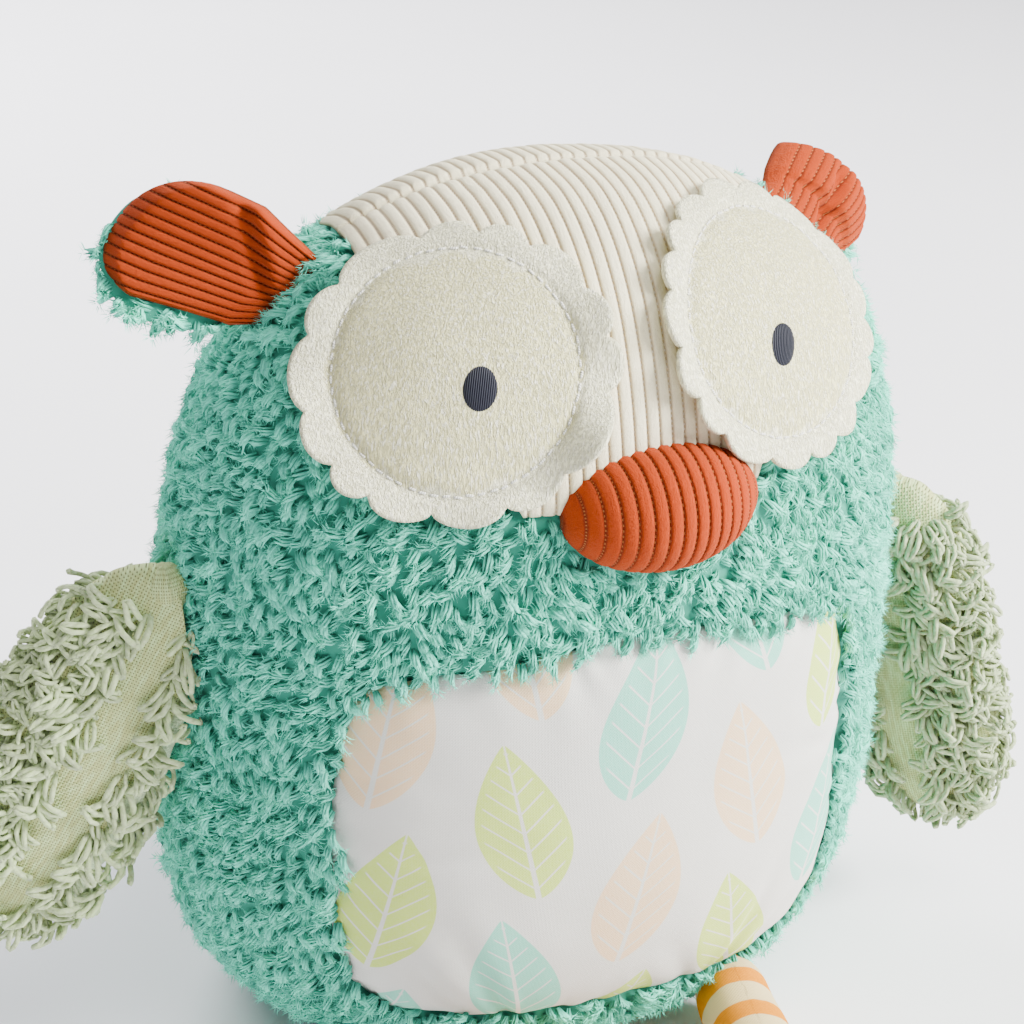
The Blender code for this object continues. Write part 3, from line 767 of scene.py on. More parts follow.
def felt_material(colours):
    made = bpy.data.materials.get("cream felt")
    if made:
        return made
    made, tree, shader = material("cream felt", 0.97, 0.15, 0.5, (1.0, 0.98, 0.86), 0.08)
    _, reach = split(tree, uv_place(tree))
    # Outside the stitching the felt takes the hem's lighter colour: a painted highlight on the hem.
    hem = ramp(tree, reach, EYE_STITCH_RADIUS - 0.0004, EYE_STITCH_RADIUS + 0.0010)
    base = blend(tree, hem, tuple(colours.felt), tuple(colours.felt_hem_highlight))
    place = object_place(tree)
    fibres = use_group(tree, fibre_group(), Place=place, Fineness=520.0)
    hairs = ramp(tree, noise_of(tree, stretched(tree, place, (4.2, 4.2, 0.8)), 400.0, 2.0, 0.7), 0.40, 0.60)
    leaning = node(tree, "Mapping", place, None, (0.0, 0.6, 0.3), (3.6, 3.6, 0.7)).outputs[0]
    strands = ramp(tree, noise_of(tree, leaning, 480.0, 2.0, 0.7), 0.51, 0.64)
    darker = tuple(0.42 * part for part in colours.felt)
    base = blend(tree, ramp(tree, hairs, 0.0, 1.0, 0.48, 0.0), base, darker)
    base = blend(tree, ramp(tree, fibres["Shade"], 0.0, 1.0, 0.16, 0.0), base, darker)
    base = blend(tree, calc(tree, "MULTIPLY", strands, 0.85), base, (1.0, 0.97, 0.78))
    tree.links.new(base, shader.inputs["Base Color"])
    height = calc(tree, "ADD", fibres["Height"], calc(tree, "MULTIPLY", calc(tree, "ADD", hairs, strands), 0.5))
    bump(tree, shader, height, 0.0006, 0.9)
    return made


def thread_material(name, colour_value, pitch, roughness=0.6, sheen=0.2):
    """Twisted or laid thread: fine slanted lines over the piece's own UV map."""
    made = bpy.data.materials.get(name)
    if made:
        return made
    made, tree, shader = material(name, roughness, sheen, 0.4, (1, 1, 1), 0.35)
    across, along = split(tree, uv_place(tree))
    turn = calc(tree, "ADD", across, calc(tree, "DIVIDE", along, pitch))
    twist = calc(tree, "ABSOLUTE", calc(tree, "SINE", calc(tree, "MULTIPLY", turn, math.pi)))
    darker = tuple(0.62 * part for part in colour_value)
    hairs = use_group(tree, fibre_group(), Place=object_place(tree), Fineness=1500.0)
    # Painted shade: the grooves between the thread's plies take the darker colour.
    base = blend(tree, twist, darker, tuple(colour_value))
    base = blend(tree, calc(tree, "MULTIPLY", hairs["Shade"], 0.25), base, darker)
    tree.links.new(base, shader.inputs["Base Color"])
    bump(tree, shader, calc(tree, "ADD", twist, calc(tree, "MULTIPLY", hairs["Height"], 0.4)), 0.0002, 0.7)
    return made


def yarn_material(colours):
    made = bpy.data.materials.get("sage yarn")
    if made:
        return made
    made, tree, shader = material("sage yarn", 0.9, 0.35, 0.5, (0.92, 1.0, 0.85), 0.15)
    across, along = split(tree, uv_place(tree))
    turn = calc(tree, "ADD", across, calc(tree, "MULTIPLY", along, 6.0))
    twist = calc(tree, "ABSOLUTE", calc(tree, "SINE", calc(tree, "MULTIPLY", turn, math.pi)))
    tint = tree.nodes.new("ShaderNodeAttribute")
    tint.attribute_name = "tint"
    hairs = use_group(tree, fibre_group(), Place=object_place(tree), Fineness=900.0)
    # The tint picks each loop's tone: at random on the right wing, kept dark on the left wing as painted shade.
    base = blend(tree, tint.outputs["Fac"], tuple(0.55 * part for part in colours.yarn), tuple(colours.yarn))
    # Painted shade: the grooves between the yarn's plies are darkened.
    base = blend(tree, ramp(tree, twist, 0.0, 0.7, 0.45, 0.0), base, tuple(0.5 * part for part in colours.yarn))
    base = blend(tree, calc(tree, "MULTIPLY", hairs["Shade"], 0.25), base, (0.86, 0.90, 0.76))
    tree.links.new(base, shader.inputs["Base Color"])
    bump(tree, shader, calc(tree, "ADD", twist, hairs["Height"]), 0.0004, 0.8)
    return made


def wing_cloth_material(colours, pitch):
    made = bpy.data.materials.get("sage cloth")
    if made:
        return made
    made, tree, shader = material("sage cloth", 0.85, 0.2, 0.4, (0.95, 1.0, 0.88), 0.2)
    place = uv_place(tree)
    weave = use_group(tree, weave_group(), Place=place, Pitch=pitch)
    slubs = noise_of(tree, stretched(tree, place, (1.0, 0.2, 1.0)), 700.0, 2.0, 0.6)
    base = blend(tree, ramp(tree, slubs, 0.35, 0.7), tuple(colours.sage), tuple(colours.yarn))
    base = blend(tree, weave["Gap"], base, tuple(0.28 * part for part in colours.sage))
    across, down = split(tree, place)
    lower_edge = ramp(tree, across, -0.0185, -0.0205, 0.0, 0.75)
    strip = calc(tree, "MULTIPLY", lower_edge, ramp(tree, down, 0.010, 0.018))
    base = blend(tree, strip, base, (0.70, 0.84, 0.60))
    tree.links.new(base, shader.inputs["Base Color"])
    bump(tree, shader, weave["Height"], 0.00025, 0.8)
    return made


def leaf_group():
    """A half-drop print of pointed leaves: how much of each of the three colours a place has."""
    group = bpy.data.node_groups.get("owl leaves")
    if group:
        return group
    tree, into, out = new_group(
        "owl leaves",
        (
            ("Place", "NodeSocketVector", None),
            ("Column", "NodeSocketFloat", 0.0375),
            ("Row", "NodeSocketFloat", 0.056),
            ("Length", "NodeSocketFloat", 0.050),
            ("Half width", "NodeSocketFloat", 0.0140),
        ),
        ("Leaf", "Colour"),
    )
    x, y = split(tree, into.outputs[0])
    column_size, row_size, size, half = (into.outputs[k] for k in (1, 2, 3, 4))
    x = calc(tree, "ADD", calc(tree, "DIVIDE", x, column_size), 20.5)
    column = calc(tree, "FLOOR", x)
    odd = calc(tree, "FLOORED_MODULO", column, 2.0)
    y = calc(tree, "ADD", calc(tree, "DIVIDE", y, row_size), calc(tree, "MULTIPLY_ADD", odd, 0.5, 20.15))
    row = calc(tree, "FLOOR", y)
    local_x = calc(tree, "MULTIPLY", calc(tree, "SUBTRACT", calc(tree, "FRACT", x), 0.5), column_size)
    local_y = calc(tree, "MULTIPLY", calc(tree, "SUBTRACT", calc(tree, "FRACT", y), 0.5), row_size)
    slant = calc(tree, "MULTIPLY_ADD", odd, 0.44, -0.22)
    local_x = calc(tree, "MULTIPLY_ADD", local_y, slant, local_x)
    share = calc(tree, "ADD", calc(tree, "DIVIDE", local_y, size), 0.5)
    held = node(tree, "Clamp", share, 0.0001, 0.9999).outputs[0]
    arch = calc(tree, "SINE", calc(tree, "MULTIPLY", calc(tree, "POWER", held, 0.80), math.pi))
    reach = calc(tree, "MULTIPLY", calc(tree, "POWER", arch, 0.85), half)
    aside = calc(tree, "ABSOLUTE", local_x)
    edge = calc(tree, "SUBTRACT", reach, aside)
    inside = ramp(tree, edge, 0.0, 0.0003)
    rib_width = calc(tree, "MULTIPLY_ADD", calc(tree, "SUBTRACT", 1.0, held), 0.0006, 0.0001)
    rib = ramp(tree, calc(tree, "SUBTRACT", aside, rib_width), 0.0, 0.0003)
    slope = calc(tree, "SUBTRACT", local_y, calc(tree, "MULTIPLY", aside, 0.85))
    beat = calc(tree, "FRACT", calc(tree, "ADD", calc(tree, "DIVIDE", slope, 0.0062), 10.0))
    line = calc(tree, "ABSOLUTE", calc(tree, "SUBTRACT", beat, 0.5))
    vein = ramp(tree, line, 0.030, 0.075)
    veins = calc(tree, "MAXIMUM", vein, ramp(tree, edge, 0.0028, 0.0016))
    leaf = calc(tree, "MULTIPLY", calc(tree, "MULTIPLY", inside, rib), veins)
    feed(tree, out.inputs["Leaf"], leaf)
    number = calc(tree, "ADD", column, calc(tree, "MULTIPLY", row, 2.0))
    feed(tree, out.inputs["Colour"], calc(tree, "FLOORED_MODULO", number, 3.0))
    return tree


def cotton_material(colours):
    made = bpy.data.materials.get("printed cotton")
    if made:
        return made
    made, tree, shader = material("printed cotton", 0.8, 0.1, 0.4, (1, 1, 1), 0.3)
    place = uv_place(tree)
    weave = use_group(tree, weave_group(), Place=place, Pitch=0.00042)
    prints = use_group(tree, leaf_group(), Place=place)
    second = calc(tree, "GREATER_THAN", prints["Colour"], 0.5)
    third = calc(tree, "GREATER_THAN", prints["Colour"], 1.5)
    ink = blend(tree, third, blend(tree, second, tuple(colours.lime), tuple(colours.mint)), tuple(colours.peach))
    patch = ramp(tree, noise_of(tree, place, 900.0, 3.0, 0.7), 0.2, 0.8, 0.84, 1.0)
    base = blend(tree, calc(tree, "MULTIPLY", prints["Leaf"], patch), tuple(colours.cotton), ink)
    base = blend(tree, calc(tree, "MULTIPLY", weave["Gap"], 0.16), base, (0.45, 0.44, 0.42))
    tree.links.new(base, shader.inputs["Base Color"])
    threads = noise_of(tree, place, 600.0, 2.0, 0.6)
    bump(tree, shader, calc(tree, "ADD", weave["Height"], threads), 0.00012, 0.7)
    return made


def jersey_material(colours, pitch):
    made = bpy.data.materials.get("striped jersey")
    if made:
        return made
    made, tree, shader = material("striped jersey", 0.9, 0.03, 0.4, (1.0, 0.85, 0.6), 0.08)
    place = uv_place(tree)
    across, along = split(tree, place)
    wobble = calc(tree, "MULTIPLY", calc(tree, "SUBTRACT", noise_of(tree, place, 160.0, 2.0), 0.5), 0.0012)
    beat = calc(tree, "FRACT", calc(tree, "DIVIDE", calc(tree, "ADD", along, wobble), pitch))
    distance = calc(tree, "ABSOLUTE", calc(tree, "SUBTRACT", beat, 0.5))
    orange = ramp(tree, distance, 0.245, 0.215)
    knit_x = calc(tree, "SINE", calc(tree, "MULTIPLY", across, 2 * math.pi / 0.0009))
    knit_y = calc(tree, "SINE", calc(tree, "MULTIPLY", along, 2 * math.pi / 0.0007))
    knit = calc(tree, "MULTIPLY", calc(tree, "ABSOLUTE", knit_x), calc(tree, "MULTIPLY_ADD", knit_y, 0.3, 0.7))
    fibres = use_group(tree, fibre_group(), Place=place, Fineness=900.0)
    cream = blend(tree, calc(tree, "MULTIPLY", fibres["Shade"], 0.25), tuple(colours.jersey), (0.62, 0.50, 0.30))
    dye = blend(tree, calc(tree, "MULTIPLY", fibres["Shade"], 0.30), tuple(colours.stripe), (0.50, 0.15, 0.0005))
    base = blend(tree, orange, cream, dye)
    tree.links.new(base, shader.inputs["Base Color"])
    bump(tree, shader, calc(tree, "ADD", knit, fibres["Height"]), 0.00025, 0.7)
    return made


def stuffing_material():
    made = bpy.data.materials.get("polyester fibre")
    if made:
        return made
    made, tree, shader = material("polyester fibre", 1.0, 0.2, 0.5, (1, 1, 1), 0.1)
    fibres = use_group(tree, fibre_group(), Place=object_place(tree), Fineness=350.0)
    base = blend(tree, fibres["Shade"], (0.70, 0.70, 0.66), (0.85, 0.85, 0.82))
    tree.links.new(base, shader.inputs["Base Color"])
    bump(tree, shader, fibres["Height"], 0.0008)
    return made


def finish_piece(obj, body, cloth, replaces=()):
    """Gives the piece its material and its body, and hides the model's parts that it replaces."""
    obj.data.materials.clear()
    obj.data.materials.append(cloth)
    obj.data.polygons.foreach_set("material_index", np.zeros(len(obj.data.polygons), dtype=int))
    smooth(obj)
    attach(obj, body)
    if replaces:
        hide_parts(*replaces)
    return obj


SKIN = None


def skin():
    """The body's surface over the pile, made once."""
    global SKIN
    if SKIN is None:
        form = body_form("surface over the pile", 4)
        SKIN = Skin(form)
        remove(form)
    return SKIN


def eye_matrix(side):
    centre, normal = skin().front(SIDES[side] * EYE_X[side], EYE_Z[side])
    return basis(centre, Vector((1, 0, 0)), normal)


def beak_matrix():
    centre, normal = skin().front(BEAK_X, BEAK_Z)
    return basis(centre, Vector((1, 0, 0)), normal)


def forehead_foot(x):
    """Height of the forehead panel's lower edge: level at its foot, then rising to its corners."""
    spread = (abs(x) - FOREHEAD_FOOT_HALF_WIDTH) / (FOREHEAD_TOP_HALF_WIDTH - FOREHEAD_FOOT_HALF_WIDTH)
    return FOREHEAD_BOTTOM + max(0, spread) * (FOREHEAD_CORNER_Z - FOREHEAD_BOTTOM)


def joint_of(name):
    return next(joint for joint in frame["record"]["behaviour"]["joints"] if joint["name"] == name)


def spline_table(shares, count=400):
    """The smooth curve that subdivision makes of a form's rings: its stations, widths and depths."""
    cage = np.array(shares)
    mirror = cage[[1, -2]] * np.array([1, -1, -1])
    cage = np.concatenate([mirror[:1], cage, mirror[1:]])
    rows = []
    for value in np.linspace(0, len(shares) - 1, count):
        start = min(int(value), len(shares) - 2)
        t = value - start
        weights = np.array([(1 - t) ** 3, 3 * t**3 - 6 * t**2 + 4, -3 * t**3 + 3 * t**2 + 3 * t + 1, t**3]) / 6
        rows.append(weights @ cage[start : start + 4])
    return np.array(rows)


def ring_factor(sides):
    return (2 + math.cos(2 * math.pi / sides)) / 3


# Pile.

# Tufts that one piece holds at most, so that it keeps under 200,000 triangles.
TUFTS_A_PIECE = 1600
# How deep the tufts' roots lie under the surface over the pile.
TUFT_SINK = 0.0030
EAR_TUFT_SINK = 0.0018
# How far the backing lies under that surface, beside the panels and beneath them.
BACKING_SINK = 0.0028
BACKING_SINK_UNDER_PANELS = 0.0062
FLOOR_GAP = 0.0003
STRANDS_A_TUFT = 6
FIBRES_A_TUFT = 26


def tuft_template(name, side_curl, start_degrees, end_degrees, fat, seed):
    """One twisted lock of strands and loose fibres, of length 1: it rises from the origin and bends over along X."""
    rng = np.random.default_rng(seed)
    steps = np.linspace(0, 1.2, 49)
    pitch = np.radians(start_degrees + (end_degrees - start_degrees) * steps)
    x = np.concatenate([[0], np.cumsum(np.cos(pitch[:-1]) / 40)])
    z = np.concatenate([[0], np.cumsum(np.sin(pitch[:-1]) / 40)])

    def around(along, flat, up):
        lean = np.interp(along, steps, pitch)
        return np.stack(
            [
                np.interp(along, steps, x) - up * np.sin(lean),
                side_curl * along**2 + flat,
                np.interp(along, steps, z) + up * np.cos(lean),
            ],
            1,
        )

    parts = []
    for strand in range(STRANDS_A_TUFT):
        phase = 2 * math.pi * (strand + rng.uniform(-0.2, 0.2)) / STRANDS_A_TUFT
        reach, away = rng.uniform(0.78, 1.10), fat * rng.uniform(0.50, 0.80)
        thick = fat * rng.uniform(0.42, 0.56)

        def place(across, along):
            turn, twist = 2 * math.pi * across, phase + 1.5 * along
            radius = thick * np.interp(along, [0, 0.3, 0.75, 1], [0.75, 1, 0.80, 0])
            aside = away * np.interp(along, [0, 0.5, 1], [0.8, 1, 0.9])
            flat = 1.15 * aside * np.cos(twist) + radius * np.cos(turn)
            return around(along * reach, flat, 0.85 * aside * np.sin(twist) + radius * np.sin(turn))

        def uv(across, along):
            return across + 0.37 * strand, along * 0.97

        parts.append(shape_arrays(grid(name, 3, 3, place, uv=uv)))
    turn = rng.uniform(-0.4, math.pi + 0.4, FIBRES_A_TUFT)
    along = rng.uniform(0.3, 1.0, FIBRES_A_TUFT)
    root = around(along, fat * np.cos(turn), 0.85 * fat * np.sin(turn))
    outward = around(along, 1.5 * fat * np.cos(turn), 1.3 * fat * np.sin(turn)) - root
    outward /= np.linalg.norm(outward, axis=1)[:, None]
    reach = outward * 0.7 + rng.normal(0, 0.45, (FIBRES_A_TUFT, 3)) + [0.5, 0, 0]
    reach /= np.linalg.norm(reach, axis=1)[:, None]
    aside = np.cross(reach, outward)
    aside /= np.linalg.norm(aside, axis=1)[:, None] + 1e-6
    tip = root + reach * rng.uniform(0.18, 0.42, FIBRES_A_TUFT)[:, None]
    points = np.stack([root - aside * 0.018, root + aside * 0.018, tip], 1).reshape(-1, 3)
    faces = np.arange(FIBRES_A_TUFT * 3).reshape(-1, 3)
    parts.append((points, faces, np.tile([[0.3, 0.85], [0.3, 0.85], [0.3, 0.97]], (FIBRES_A_TUFT, 1))))
    counts = np.cumsum([0] + [len(part[0]) for part in parts[:-1]])
    return (
        np.concatenate([part[0] for part in parts]),
        np.concatenate([part[1] + before for part, before in zip(parts, counts)]),
        np.concatenate([part[2] for part in parts]),
    )


def tuft_templates():
    return [
        tuft_template("tuft 1", 0.22, 68, -50, 0.175, 1),
        tuft_template("tuft 2", -0.26, 58, -62, 0.19, 2),
        tuft_template("tuft 3", 0.38, 74, -35, 0.165, 3),
        tuft_template("tuft 4", -0.08, 50, -75, 0.18, 4),
    ]


def grow_pile(name, spots, surface, nap, sink, size, seed, spread=30.0):
    """Tufts at the spots, each lying along the nap at its place on the surface."""
    rng = np.random.default_rng(seed)
    count = len(spots)
    turns, roots = np.empty((count, 3, 3)), np.empty((count, 3))
    yaws = np.radians(rng.normal(0, spread, count))
    tilts = np.radians(rng.normal(0, 9, count))
    scales = size * rng.uniform(0.78, 1.22, count)
    for index, spot in enumerate(spots):
        hit, normal, _ = surface.nearest(spot)
        direction = nap(hit, normal)
        along = (direction - direction.dot(normal) * normal).normalized()
        along = Matrix.Rotation(yaws[index], 3, normal) @ along
        aside = normal.cross(along)
        tilt = Matrix.Rotation(tilts[index], 3, aside)
        frame_of = Matrix((tilt @ along, aside, tilt @ normal)).transposed()
        turns[index] = np.array(frame_of) * scales[index]
        roots[index] = hit - normal * sink
    picks = rng.integers(0, 4, count)
    pile = copies(name, tuft_templates(), picks, turns, roots, rng.random(count))
    # The floor presses the lowest tufts flat.
    put(pile, np.maximum(places(pile), [-1, -1, FLOOR_GAP]))
    return pile


def swirl(place):
    """A slow random turn of the nap, so that the tufts lie in patches."""
    return noise.noise(place * 45) * 0.9


def body_nap(place, normal):
    """Down, and backwards round the sides."""
    side = max(-1, min(1, place.x / 0.085))
    backwards = Vector((side * 0.35, abs(side) * 0.55, 0))
    down = Vector((0, 0, -1)) + backwards
    if normal.z < -0.5:
        down = Vector((0, 1, 0))
    return Matrix.Rotation(swirl(place) * 1.3, 3, normal) @ down


class OWL_OT_pile(bpy.types.Operator):
    """Make the pile covers of the body: a backing cut like the model's cover, with its tufts"""

    bl_idname = "owl.pile"
    bl_label = "Body pile"

    def execute(self, context):
        sizes, colours = context.scene.owl_sizes, context.scene.owl_colours
        surface = skin()
        cloth = pile_material(colours)
        eyes = [eye_matrix(side).translation for side in SIDES]
        to_beak = beak_matrix().inverted()
        middle, reach_at = belly_reach()

        def bare(spot):
            if any((spot - eye).length < EYE_STITCH_RADIUS + EYE_HEM - 0.0005 for eye in eyes):
                return True
            local = to_beak @ spot
            reach = (local.x / (BEAK_WIDTH / 2)) ** 2 + (local.y / (BEAK_HEIGHT / 2)) ** 2
            return reach < 0.86 and abs(local.z) < 0.02

        def panel(spot, margin=0.0):
            if spot.y < SIDE_SEAM_Y:
                x, z = spot.x - middle[0], spot.z - middle[1]
                if math.hypot(x, z) < reach_at(math.atan2(z, x)) + margin:
                    return True
                return abs(spot.x) < FOREHEAD_TOP_HALF_WIDTH + margin and spot.z > forehead_foot(spot.x) - margin
            return abs(spot.x) < FOREHEAD_TOP_HALF_WIDTH + margin and spot.z > CROWN_BOTTOM - margin

        def region(spot, normal):
            if normal.z < -0.55 and spot.z < 0.0098:
                return "base_cover"
            if spot.y < SIDE_SEAM_Y:
                return "front_cover"
            return "back_cover_right" if spot.x < 0 else "back_cover_left"

        for number, node_name in enumerate(("front_cover", "back_cover_right", "back_cover_left", "base_cover")):
            backing = body_form(node_name + " backing", 3)
            kept = [region(face.center, face.normal) == node_name for face in backing.data.polygons]
            keep_faces(backing, kept)
            found = scatter(backing, sizes.tuft_spacing, lambda spot: True, 10 + number)
            found = [spot for spot in found if not bare(spot) and spot.z > 0.0035]
            # The tufts grow in over a panel's edge, and further in below, where they hang away from it.
            found = [spot for spot in found if not panel(spot, -0.0012 if spot.z > middle[1] else -0.0036)]
            moved = []
            for vertex in backing.data.vertices:
                hit, normal, _ = surface.nearest(vertex.co)
                sink = BACKING_SINK_UNDER_PANELS if panel(vertex.co, 0.001) else BACKING_SINK
                moved.append(hit - normal * sink)
            put(backing, moved)
            apply(backing, "SOLIDIFY", thickness=0.0004, offset=-1, use_rim=True)
            # The backing takes the pile's root colour: a dark sheet of painted shade under the tufts.
            set_uv(backing, np.tile([0.5, 0.05], (len(backing.data.vertices), 1)))
            found.sort(key=lambda spot: spot.z)
            parts = max(1, math.ceil(len(found) / TUFTS_A_PIECE))
            stem = node_name.replace("cover", "pile")
            for part in range(parts):
                share = found[len(found) * part // parts : len(found) * (part + 1) // parts]
                joining = [backing] if part == 0 else []
                if share:
                    seed = 20 + 10 * number + part
                    tufts = grow_pile("tufts", share, surface, body_nap, TUFT_SINK, sizes.tuft_length, seed)
                    joining.insert(0, tufts)
                piece = joined(f"{stem}_{part + 1}" if parts > 1 else stem, joining)
                finish_piece(piece, "body", cloth, (node_name,) if part == 0 else ())
        return {"FINISHED"}


class OWL_OT_stuffing(bpy.types.Operator):
    """Make the wad of fibre inside the body"""

    bl_idname = "owl.stuffing"
    bl_label = "Stuffing"

    def execute(self, context):
        form = body_form("body_fill", 3)
        normals = np.array([vertex.normal for vertex in form.data.vertices])
        put(form, places(form) - normals * 0.0066)
        finish_piece(form, "body", stuffing_material(), ("body_stuffing",))
        return {"FINISHED"}


# Belly.


def smooth_loop(points, steps):
    loop, count = [], len(points)
    for index in range(count):
        before, start, end, after = (np.array(points[(index + k) % count]) for k in (-1, 0, 1, 2))
        for step in range(steps):
            t = step / steps
            bend = before * (-t + 2 * t**2 - t**3) + start * (2 - 5 * t**2 + 3 * t**3)
            loop.append((bend + end * (t + 4 * t**2 - 3 * t**3) + after * (t**3 - t**2)) / 2)
    return np.array(loop)


def belly_reach():
    """The belly outline's distance from its middle for any angle."""
    height = BELLY_TOP - BELLY_BOTTOM
    side = [(BELLY_HALF_WIDTH * w, BELLY_BOTTOM + height * h) for w, h in BELLY_SIDE_SHARES]
    points = [(0, BELLY_TOP)] + side + [(0, BELLY_BOTTOM)] + [(-x, z) for x, z in reversed(side)]
    middle = np.array([0, BELLY_BOTTOM + height / 2])
    loop = smooth_loop(points, 12) - middle
    sideways = np.where(loop[:, 0] < 0, BELLY_SPREAD_RIGHT, BELLY_SPREAD_LEFT)
    loop = loop * np.array([sideways, np.where(loop[:, 1] < 0, BELLY_SPREAD_BELOW, 1.0)]).T
    angles = np.arctan2(loop[:, 1], loop[:, 0])
    from_corner = (angles - math.radians(BELLY_CORNER_DEGREES)) / math.radians(BELLY_CORNER_SPAN_DEGREES)
    loop = loop * (1 + BELLY_CORNER_SPREAD * np.exp(-(from_corner**2)))[:, None]
    order = np.argsort(angles)
    reaches = np.hypot(loop[:, 0], loop[:, 1])
    return middle, lambda angle: np.interp(angle, angles[order], reaches[order], period=2 * math.pi)


# Creases of the belly's cloth: the two ends seen from in front, the depth and the half width, in millimetres.
BELLY_CREASES = (
    (34, 32, 50, 70, 1.1, 3.0),
    (44, 34, 66, 58, 0.9, 2.6),
    (-34, 32, -50, 66, 1.1, 3.0),
    (-46, 34, -66, 60, 0.8, 2.6),
    (22, 31, 12, 52, 0.6, 3.5),
    (-60, 92, -30, 96, 0.5, 4.0),
    (64, 100, 40, 108, 0.6, 4.0),
    (-20, 150, -14, 134, 0.6, 3.0),
    (26, 150, 20, 136, 0.5, 3.0),
)


def crease_depth(x, z):
    depth = 0.0
    for x0, z0, x1, z1, deep, wide in BELLY_CREASES:
        start, span = Vector((x0, z0)), Vector((x1 - x0, z1 - z0))
        offset = Vector((x / MM, z / MM)) - start
        along = offset.dot(span) / span.length_squared
        aside = abs(offset.x * span.y - offset.y * span.x) / span.length
        fade = max(0.0, min(1.0, 1.25 - along)) * max(0.0, min(1.0, 4 * (along + 0.25)))
        width = wide * (0.6 + 0.8 * max(0.0, min(1.0, along)))
        beside = math.exp(-(((aside - 1.7 * width) / width) ** 2))
        depth += deep * fade * (math.exp(-((aside / width) ** 2)) - 0.5 * beside)
    return depth * MM


class OWL_OT_belly(bpy.types.Operator):
    """Make the printed cotton belly, crowned by the stuffing and puckered along its seam"""

    bl_idname = "owl.belly"
    bl_label = "Belly"

    def execute(self, context):
        surface = skin()
        middle, reach_at = belly_reach()

        def flat(across, along):
            u, v = across * 2 - 1, along * 2 - 1
            share = np.maximum(np.abs(u), np.abs(v))
            angle = np.arctan2(v, u)
            reach = share * reach_at(angle)
            return middle[0] + reach * np.cos(angle), middle[1] + reach * np.sin(angle), share, angle

        def place(across, along):
            spots = []
            for x, z, share, angle in zip(*flat(across, along)):
                hit, normal = surface.front(x, z)
                lift = -4.6 + 5.8 * (1 - share**7)
                pucker = share**9 * math.sin(angle * 31 + 3 * noise.noise(Vector((x, z, 0)) * 60))
                soft = noise.noise(Vector((x, z, 1)) * 28) * 0.9 + noise.noise(Vector((x, z, 4)) * 90) * 0.25
                rise = (lift + 0.55 * pucker + soft * (1 - share**8)) * MM - crease_depth(x, z)
                spots.append(hit + normal * rise)
            return spots

        def uv(across, along):
            x, z, _, _ = flat(across, along)
            return x * 1.12, z

        belly = grid("belly_cotton", 110, 96, place, merge=False, uv=uv)
        face_out(belly, (0, 0, 0.1))
        apply(belly, "SOLIDIFY", thickness=0.0008, offset=-1, use_rim=True)
        cloth = cotton_material(context.scene.owl_colours)
        finish_piece(belly, "body", cloth, ("belly_panel",))
        return {"FINISHED"}


# Corduroy.

WALE_STEPS = np.array([0.0, 0.06, 0.18, 0.36, 0.64, 0.82, 0.94])


def wale_spread(across, wales):
    """Moves evenly spread columns to where a wale's profile needs them; returns the wale number."""
    step = np.rint(across * wales * len(WALE_STEPS)).astype(int)
    whole, part = np.divmod(step, len(WALE_STEPS))
    return whole + WALE_STEPS[part]


def wale_rise(number):
    part = np.abs((number - np.floor(number)) * 2 - 1)
    return 1 - part**4.5


class OWL_OT_forehead(bpy.types.Operator):
    """Make the ribbed forehead and the crown behind its seam"""

    bl_idname = "owl.forehead"
    bl_label = "Forehead and crown"

    def execute(self, context):
        sizes, colours = context.scene.owl_sizes, context.scene.owl_colours
        surface = skin()
        wales = sizes.wales
        pitch = 2 * FOREHEAD_TOP_HALF_WIDTH / wales
        cloth = corduroy_material(
            "cream corduroy", tuple(colours.cream), tuple(colours.cream_valley_shade), (0.92, 0.88, 0.78), (1.0, 0.96, 0.88)
        )

        def sheet(name, node_name, start_angle, end_angle, rows):
            def flat(across, along):
                number = wale_spread(across, wales)
                x = (number * pitch) - FOREHEAD_TOP_HALF_WIDTH
                return number, x, along

            def place(across, along):
                spots = []
                number, x, along = flat(across, along)
                for n, px, t in zip(number, x, along):
                    start, end = start_angle(px), end_angle(px)
                    angle = start + (end - start) * t
                    core, direction = (px, SIDE_SEAM_Y, FOREHEAD_CORE_Z), (0, -math.cos(angle), math.sin(angle))
                    hit, normal = surface.ray(core, direction)
                    wobble = noise.noise(Vector((n * 0.7, t * 5, 2))) * 0.25
                    seam = min(1.0, (t if name == "crown_corduroy" else 1 - t) * 26)
                    rim = min(1.0, (1 - t if name == "crown_corduroy" else t) * 14)
                    rise = wale_rise(np.array(n)) * (sizes.wale_height / MM) * (0.55 + 0.45 * seam) + wobble
                    swell = noise.noise(Vector((px * 22, t * 2.2, 7))) * 0.5
                    lift = -3.2 + 1.6 * seam ** 0.6 * (0.4 + 0.6 * rim ** 0.5) + rise + swell
                    spots.append(hit + normal * lift * MM)
                return spots

            def uv(across, along):
                number, _, along = flat(across, along)
                return number, along * FOREHEAD_ARC

            obj = grid(name, wales * len(WALE_STEPS), rows, place, merge=False, uv=uv)
            face_out(obj, (0, 0, 0.15))
            apply(obj, "SOLIDIFY", thickness=0.001, offset=-1, use_rim=True)
            finish_piece(obj, "body", cloth, (node_name,))

        def foot_angle(x):
            z = forehead_foot(x)
            hit, _ = surface.front(x, z)
            return math.atan2(z - FOREHEAD_CORE_Z, SIDE_SEAM_Y - hit.y)

        def back_angle(x):
            z = max(CROWN_BOTTOM, 0.2465)
            hit, _ = surface.ray((x, 0.3, z), (0, -1, 0))
            return math.atan2(z - FOREHEAD_CORE_Z, SIDE_SEAM_Y - hit.y)

        top = math.pi / 2
        sheet("forehead_corduroy", "forehead_panel", foot_angle, lambda x: top - 0.004, 72)
        sheet("crown_corduroy", "crown_panel", lambda x: top + 0.004, back_angle, 26)
        return {"FINISHED"}


